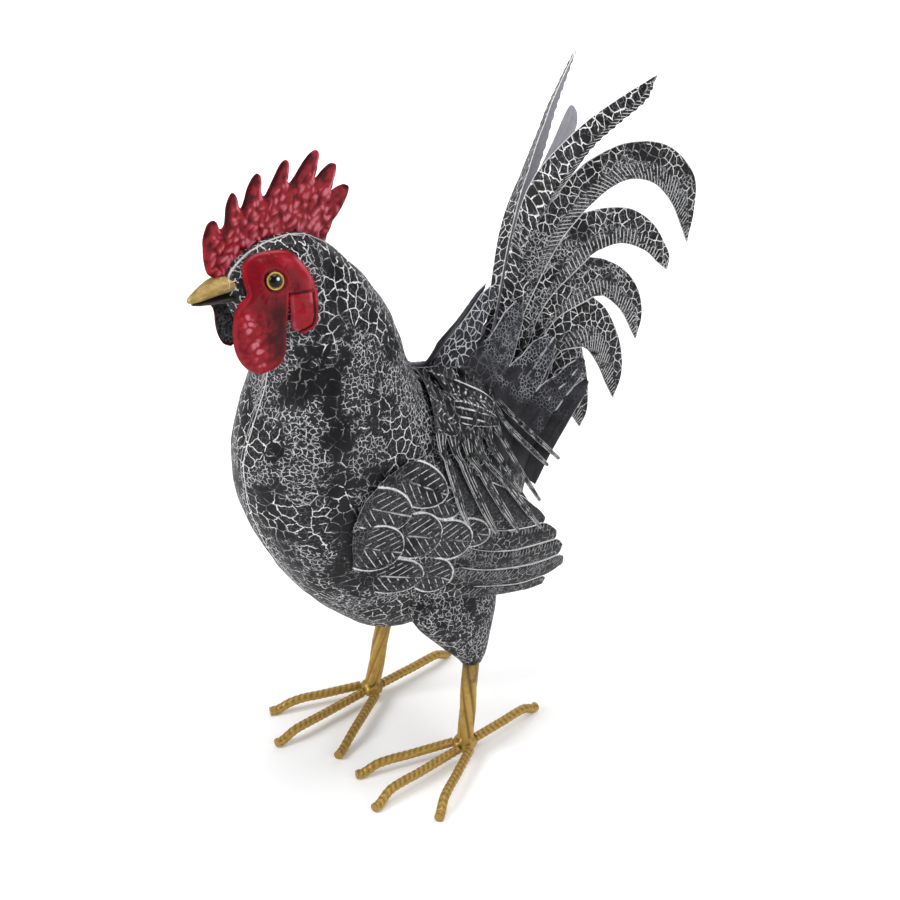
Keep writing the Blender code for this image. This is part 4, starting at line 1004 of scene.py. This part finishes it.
def tail_plate(side):
    """Tail plate: six sickle feathers of roof section. The fold runs from the ridge to the seams,
    the leading half is cracked and the trailing half carries barbs across it."""
    rows, columns = 168, 22
    share = np.linspace(0, 1, rows)
    joined = [round(count * rows / 14) for count in TAIL_JOINED]
    seam_fold = np.interp(share, *np.array(SEAM_FOLD).T)
    brow_fold = np.interp(share, *np.array(BROW_FOLD).T)
    ridge_fold = np.interp(share, (0, 0.4), (3, 0))
    v = np.linspace(0, 1, columns)[None]
    grids = []
    seams, leading, trailing = list(TAIL_SEAMS), list(TAIL_LEADING), list(TAIL_TRAILING)
    if side < 0:
        seams[1], leading[1] = TAIL_RIGHT_SEAM, TAIL_RIGHT_LEADING
        trailing[:2] = TAIL_RIGHT_TRAILING
    for index in range(len(leading)):
        first = joined_edge(seams[index], leading[index], joined[index], rows)
        last = joined_edge(seams[index + 1], trailing[index], joined[index + 1], rows)
        if index == 0:
            first[:, 0] += np.interp(share, *np.array(BROW_RUN).T)
        tip = (first[-1] + last[-1]) / 2
        first[-1] = tip + (first[-2] - tip) * 0.5
        last[-1] = tip + (last[-2] - tip) * 0.5
        centre = (first + last) / 2
        run = run_along(centre)
        if index == 0:
            notch = 1.3 * np.abs((run / 5.2) % 1 * 2 - 1) * smooth_step(share, 0.6, 0.68)
            notch = notch * (1 - smooth_step(share, 0.95, 1.0))
            inward = (first - last) / np.linalg.norm(first - last, axis=1, keepdims=True)
            last += inward * notch[:, None]
        if index == 0 and side < 0:
            stretch = smooth_step(share, 0.45, 1.0)[:, None] * TAIL_RIGHT_STRETCH
            first, last = first + stretch, last + stretch
        plane = mixed(first[:, None], last[:, None], v[..., None])
        wide = np.linalg.norm(last - first, axis=1)[:, None] / 2
        t = np.abs(2 * v - 1)
        sides = np.where(v < 0.5, (seam_fold if index else brow_fold)[:, None], seam_fold[:, None])
        roof = np.sqrt(t**2 + 0.012) - math.sqrt(0.012)
        fold = ridge_fold[:, None] * (1 - roof) + sides * roof
        across = t * wide
        barb = (run[:, None] + 0.35 * across * np.where(v < 0.5, 1, -1)) / TAIL_BARB_PITCH
        barbed = smooth_step(v, 0.50, 0.56) * smooth_step(share, 0.30, 0.42)[:, None]
        barbed = barbed * smooth_step(wide - across, 0.2, 0.9)
        height = 0.35 * bell(across, 0, 0.7) + 0.16 * np.abs((barb % 1) * 2 - 1) * barbed
        middle = tail_point(plane[..., 0], plane[..., 1], fold - PROUD - height)
        steep = np.sqrt(1 + ((sides - ridge_fold[:, None]) / np.maximum(wide, 1.5)) ** 2)
        rim = (wide - across) * steep
        fields = {"edge": rim, "rib": across * steep + 0.15, "barb": barb, "barbed": barbed,
                  "ridged": 0.0, "plain": 0.0, "pitch": TAIL_BARB_PITCH,
                  "bias": -0.13 * (1 - smooth_step(v, 0.45, 0.55))}
        back = {"edge": rim + 0.25, "rib": FAR, "barbed": 0.0}
        points, made = shell(middle, SHEET, fields, back)
        if index == 0:
            made["inner"][:, columns:] = smooth_step(v, 0.42, 0.46)[:, ::-1]
        grids.append((points, made))
    return grids


def covert_surface(y, z):
    """The covert sheet stands near the mid-plane at its top edge and leans out below it."""
    below_top = (229 - z + y) / math.sqrt(2)
    lean = 0.6 + 0.41 * below_top + 3.0 * (1 - np.exp(-np.clip(below_top, 0, None) / 4))
    lean = larger(lean, 0.6, 0.8)
    return larger(lean, body_half_width(y, z) + 1.6, 2.0)


def over_covert(y, z):
    """Least x of a saddle feather: it lies over the body and the covert sheet."""
    floor = body_half_width(y, z) + 3.1
    on_covert = np.clip((y + 2) / 8, 0, 1)
    return floor + on_covert * np.clip(covert_surface(y, z) + 5.8 - floor, 0, None)


def over_wing(y, z):
    """Least x of a saddle feather that also lies over the top of the wing."""
    top = np.interp(y, *np.array(WING_SEAMS[0], float).T)
    wing = wing_surface(y, np.minimum(z, top)) + 2.8 - 1.2 * np.clip(z - top - 2, 0, None)
    return np.maximum(over_covert(y, z), wing)


def parted(seam, edge, joined):
    """An edge that follows the seam for the joined share and leaves it over the next seven rows."""
    own = int(joined * (len(edge) - 1)) + 1
    return mixed(seam, edge, np.clip((np.arange(len(edge)) - own) / 7, 0, 1)[:, None])


def fan(axes, feathers, floors, columns, crest, detail):
    """Fan of feathers along axes (feathers, rows, 3). The edges are axis plus and minus half the
    width across it, or the shared seam where joined, and detail adds each feather's relief."""
    rows = axes.shape[1]
    along = np.gradient(axes, axis=1)
    across = np.gradient(axes, axis=0)
    across -= (across * along).sum(2, keepdims=True) * along / (along**2).sum(2, keepdims=True)
    across /= np.linalg.norm(across, axis=2, keepdims=True)
    seams = (axes[:-1] + axes[1:]) / 2
    share = np.sin(np.linspace(0, math.pi / 2, rows))
    v = np.linspace(0, 1, columns)
    grids = []
    for index, (_, widths, joined) in enumerate(feathers):
        half = np.interp(share, (0, 0.5, 0.9, 1), widths)[:, None]
        first, last = axes[index] - across[index] * half, axes[index] + across[index] * half
        if index:
            first = parted(seams[index - 1], first, feathers[index - 1][2])
        if joined:
            last = parted(seams[index], last, joined)
        middle = mixed(first[:, None], last[:, None], v[None, :, None])
        middle[..., 0] = larger(middle[..., 0], floors[index](middle[..., 1], middle[..., 2]), 0.6)
        wide = np.linalg.norm(last - first, axis=1)[:, None] / 2
        t = np.abs(2 * v - 1)[None]
        height, fields, back = detail(index, share[:, None], v[None], t * wide, wide,
                                      middle[..., 1:])
        middle[..., 0] += PROUD + crest * (1 - t**2) + height
        grids.append(shell(middle, SHEET, fields, back))
    return grids


def feather_axes(feathers, rows):
    """Axis of every feather at shares sin(a) of its length, closer together towards the tip."""
    lines = np.stack([smooth_curve(points, 600) for points, _, _ in feathers])
    where = np.sin(np.linspace(0, math.pi / 2 * 0.97, rows)) * 598.9
    part = (where - where.astype(int))[:, None]
    return mixed(lines[:, where.astype(int)], lines[:, where.astype(int) + 1], part)


def covert_detail(index, share, v, across, wide, plane):
    """A crease along the middle, bold cracks on the first feather and fine ones on the next."""
    web = smooth_step(share + 0.1 * lumps(plane, 14, 3), 0.4, 0.6)
    web *= (0.15, 0.8, 1.0, 0.4, 0.1)[index]
    streak = v * 4.0 + 0.12 * lumps(plane, 9, 8)
    bold = (1.0, 0.12, 0.0, 0.0, 0.0)[index] * smooth_step(share, 0.1, 0.3)
    crease = (0.3, 0.4, 1.0, 1.0, 0.8)[index]
    height = 0.45 * crease * bell(across, 0, 0.9) * smooth_step(share, 0.2, 0.5)
    stuck = FAR * (1 - smooth_step(share, 0.5, 0.62))
    fields = {"edge": wide - across + stuck, "rib": across + stuck + FAR * (crease < 0.9),
              "web": web, "streak": streak, "bold": bold}
    return height, fields, {"edge": FAR, "rib": FAR, "web": 0.0, "bold": 0.0}


def saddle_detail(_, share, v, across, wide, plane):
    """Three ridges along each finger: 0.4 * cos^2(3 pi v), below the scale feathers of the top."""
    finger = smooth_step(share, 0.36, 0.46)
    phase = 3 * np.abs(v - 0.5)
    height = 0.4 * np.cos(np.pi * phase) ** 2 * finger
    fields = {"edge": wide - across + 0.1 + FAR * (1 - finger), "rib": FAR, "barb": phase + 0.5,
              "barbed": 0.0, "ridged": finger, "plain": 0.8 * (1 - finger), "pitch": 2.0}
    top = scale_relief(plane, fields, height, SADDLE_SCALES, 1.5)
    fields["ridged"] = np.where(top > height, 0.0, fields["ridged"])
    return top, fields, {"edge": FAR, "rib": FAR, "barbed": 0.0, "ridged": 0.0}


def covert_plate(side):
    """Tail covert: a plain sheet with five finger feathers and a straight rear edge below them."""
    flat = feather_axes(COVERT_FEATHERS, 56)
    if side < 0:
        flat[0] += np.linspace(0, 1, 56)[:, None] * np.array([5.0, -4.5])
    axes = np.concatenate([covert_surface(flat[..., 0], flat[..., 1])[..., None], flat], axis=-1)
    return fan(axes, COVERT_FEATHERS, [covert_surface] * 5, 26, 0.9, covert_detail)


def saddle_plate():
    """Saddle: feathers that start at the ridge of the back and end as fingers over the wing."""
    return fan(feather_axes(SADDLE_FEATHERS, 120), SADDLE_FEATHERS,
               [over_wing] * 4 + [over_covert] * 4, 15, 0.7, saddle_detail)


def thigh_cone():
    """Thigh: a cone of ovals that widens from the leg into the belly."""
    x, y, z = LEG_TOP
    sections = smooth_curve([(x, y, z, 5.8, 6.0), (x, y - 0.5, z + 5, 7.4, 9.5),
                             (36.5, -12, 78, 10.5, 17.5), (34.5, -16, 93, 13.5, 26.5),
                             (31, -17, 107, 14.5, 31), (26, -14, 124, 13, 28)], 70)
    angle = round_angles(96)
    points = np.stack([sections[:, 0, None] + sections[:, 3, None] * np.cos(angle),
                       sections[:, 1, None] + sections[:, 4, None] * np.sin(angle),
                       sections[:, 2, None] + np.zeros(96)], axis=-1)
    points[2:, :, 0] += 0.25 * lumps(points[2:], 14, 6)
    turn, rise = facing_ways(points)
    return [(points, {"seam": FAR, "bias": 0.1, "turn": turn, "rise": rise})]


def rod(path, radius):
    """Rod along a path (rows, 3): radius (rows, sides) round it, on a level and an upright axis."""
    along = np.gradient(path, axis=0)
    along /= np.linalg.norm(along, axis=1, keepdims=True)
    reference = np.array([0.0, 0.0, 1.0]) if abs(along[0][2]) < 0.7 else np.array([0.0, 1.0, 0.0])
    level = np.cross(along, reference)
    level /= np.linalg.norm(level, axis=1, keepdims=True)
    upright = np.cross(level, along)
    angle = np.linspace(0, 2 * np.pi, radius.shape[1], endpoint=False)[None, :, None]
    return path[:, None] + radius[..., None] * (np.cos(angle) * level[:, None]
                                                + np.sin(angle) * upright[:, None])


def leg_rods(word):
    """Leg: twisted strands, radius R (0.86 + 0.22 |cos(strands / 2 (a - turn))|^0.8), with a lumpy
    ball of weld at the foot."""
    rows, sides = 130, 80
    hub = np.array([FEET[word][0], FEET[word][1], TOE_ROD / 2 + 5.5])
    top = np.array(LEG_TOP) + np.array([0, 0, 1.5])
    path = np.linspace(hub, top, rows)
    angle = round_angles(sides)[None]
    turn = np.linspace(0, LEG_TWIST, rows)[:, None]
    strand = np.abs(np.cos(LEG_STRANDS / 2 * (angle - turn))) ** 0.8
    fine = 0.02 * np.cos(20 * (angle - turn))
    radius = LEG_DIAMETER / 2 * (0.86 + 0.22 * strand + fine)
    # The relief field is painted light: lighter on the strands and on one side of their twist,
    # painted shade in the grooves between them
    grids = [(rod(path, radius), {"relief": strand * 0.65 + 0.2 + 0.15 * np.cos(angle - turn + 1)})]
    tall = np.linspace(0.02, 0.98, 26)[:, None] * np.pi
    ball = np.stack([np.sin(tall) * np.cos(angle[:, ::2]), np.sin(tall) * np.sin(angle[:, ::2]),
                     np.cos(tall) + 0 * angle[:, ::2]], axis=-1)
    bumpy = lumps(ball * WELD_RADIUS, 5.0, 12 + len(word))
    ball = hub + ball * WELD_RADIUS * (1.03 + 0.10 * bumpy)[..., None] * np.array([1, 1, 0.8])
    # Painted light on the weld: lighter on its lumps, painted shade in its dips
    return grids + [(ball, {"relief": np.clip(0.6 + 0.5 * bumpy, 0, 1)})]


def toe_rod(word, toe):
    """Toe: a ribbed bar. Radius is R (0.97 + 0.10 for two ribs along it or slanted ribs)."""
    heights = np.array(TOE_HEIGHTS)[:, None]
    root, bend, tip = np.hstack([np.array(TOES[word][toe], float), heights])
    tip[2] = TOE_ROD / 2
    landing = bend + 0.74 * (tip - bend)
    landing[2] = TOE_ROD / 2
    guide = smooth_curve([root, root + 0.6 * (bend - root), bend, landing], 7)
    path = smooth_curve(np.vstack([guide, tip]), 170)
    path[:, 2] = np.maximum(path[:, 2], TOE_ROD / 2)
    run = run_along(path)[:, None]
    angle = round_angles(28)[None]
    spin = angle - run * 0.012
    from_keel = ((spin - 1.1) / np.pi) % 1 - 0.5
    wave = (run / TOE_RIB_PITCH + 1.1 * np.abs(from_keel)) % 1
    relief = np.maximum(bell(from_keel, 0, 0.075), bell(wave, 0.5, 0.24))
    radius = TOE_ROD / 2 * (0.97 + 0.10 * relief)
    points = rod(path, radius)
    points[..., 2] = np.maximum(points[..., 2], 0.02)
    points = np.concatenate([points, points[-1:] * 0.985 + path[-1] * 0.015], axis=0)
    # The relief field paints light: lighter on the ribs, painted shade in the grooves between them
    relief = np.concatenate([relief * 0.5 + 0.35, relief[-1:] * 0 + 0.5])
    return [(points, {"relief": relief})]


def make_bird():
    """Every piece of the bird, the two halves alike but for the side they are on."""
    crackled = "charcoal_crackle"
    painted = charcoal_paint("charcoal body", False)
    feathered = charcoal_paint("charcoal feathers", True)
    dark = dark_sheet_paint()
    make_piece("body", body_shell(), painted, 1, "body")
    make_piece("comb", comb_plate(), red_enamel("comb red", False), 1, "comb")
    beak = beak_paint()
    for half, shape in BEAK.items():
        make_piece(f"beak {half}", mandible(*shape), beak, 1, f"beak_{half}")
    face, eye = red_enamel("face red", True), eye_paint()
    leg, toe_gold = gold_paint("leg gold", True), gold_paint("toe gold", False)
    for side, word in ((1, "left"), (-1, "right")):
        for name, node, grids, finish, slot_name in (
                ("face", "face_plate", face_plate(side), face, "comb_red"),
                ("eye", "eye", eye_dome(), eye, "eye_gloss"),
                ("wing", "wing", wing_plate(), feathered, crackled),
                ("saddle", "saddle", saddle_plate(), feathered, crackled),
                ("covert", "tail_covert", covert_plate(side), dark, "dark_sheet"),
                ("tail", "tail_plate", tail_plate(side), feathered, crackled),
                ("thigh", "thigh", thigh_cone(), painted, crackled),
                ("leg", "leg", leg_rods(word), leg, "gold_rod")):
            make_piece(f"{name} {word}", grids, finish, side, f"{node}_{word}")
        for toe in TOES[word]:
            make_piece(f"toe {toe} {word}", toe_rod(word, toe), toe_gold, side,
                       f"toe_{toe}_{word}", 45)


def make_studio():
    """Pale floor, soft lights and the camera."""
    mesh = bpy.data.meshes.new("floor")
    corners = [(-1, -1), (1, -1), (1, 1), (-1, 1)]
    mesh.from_pydata([(x * FLOOR_HALF, y * FLOOR_HALF, 0) for x, y in corners], [], [(0, 1, 2, 3)])
    floor = bpy.data.objects.new("floor", mesh)
    bpy.context.collection.objects.link(floor)
    mesh.materials.append(floor_paint())
    centre = Vector((0.0, 0.0, 0.18))
    for name, place, size, power in LAMPS:
        data = bpy.data.lights.new(name, "AREA")
        data.shape, data.size, data.energy = "SQUARE", size, power
        lamp = bpy.data.objects.new(name, data)
        lamp.location = place
        lamp.rotation_euler = (centre - Vector(place)).to_track_quat("-Z", "Y").to_euler()
        bpy.context.collection.objects.link(lamp)
    world = bpy.data.worlds.new("studio")
    world.use_nodes = True
    world.node_tree.nodes["Background"].inputs[0].default_value = (1, 1, 1, 1)
    world.node_tree.nodes["Background"].inputs[1].default_value = WORLD_LIGHT
    bpy.context.scene.world = world
    camera_data = bpy.data.cameras.new("camera")
    camera_data.lens, camera_data.sensor_width = CAMERA_LENS, 36.0
    camera = bpy.data.objects.new("camera", camera_data)
    azimuth, elevation = math.radians(CAMERA_AZIMUTH), math.radians(CAMERA_ELEVATION)
    level = CAMERA_DISTANCE * math.cos(elevation)
    away = Vector((math.sin(azimuth) * level, -math.cos(azimuth) * level,
                   CAMERA_DISTANCE * math.sin(elevation)))
    camera.location = Vector(CAMERA_AIM) + away
    camera.rotation_euler = (-away).to_track_quat("-Z", "Y").to_euler()
    bpy.context.collection.objects.link(camera)
    bpy.context.scene.camera = camera
    bpy.context.scene.view_settings.view_transform = "Standard"


make_bird()
make_studio()
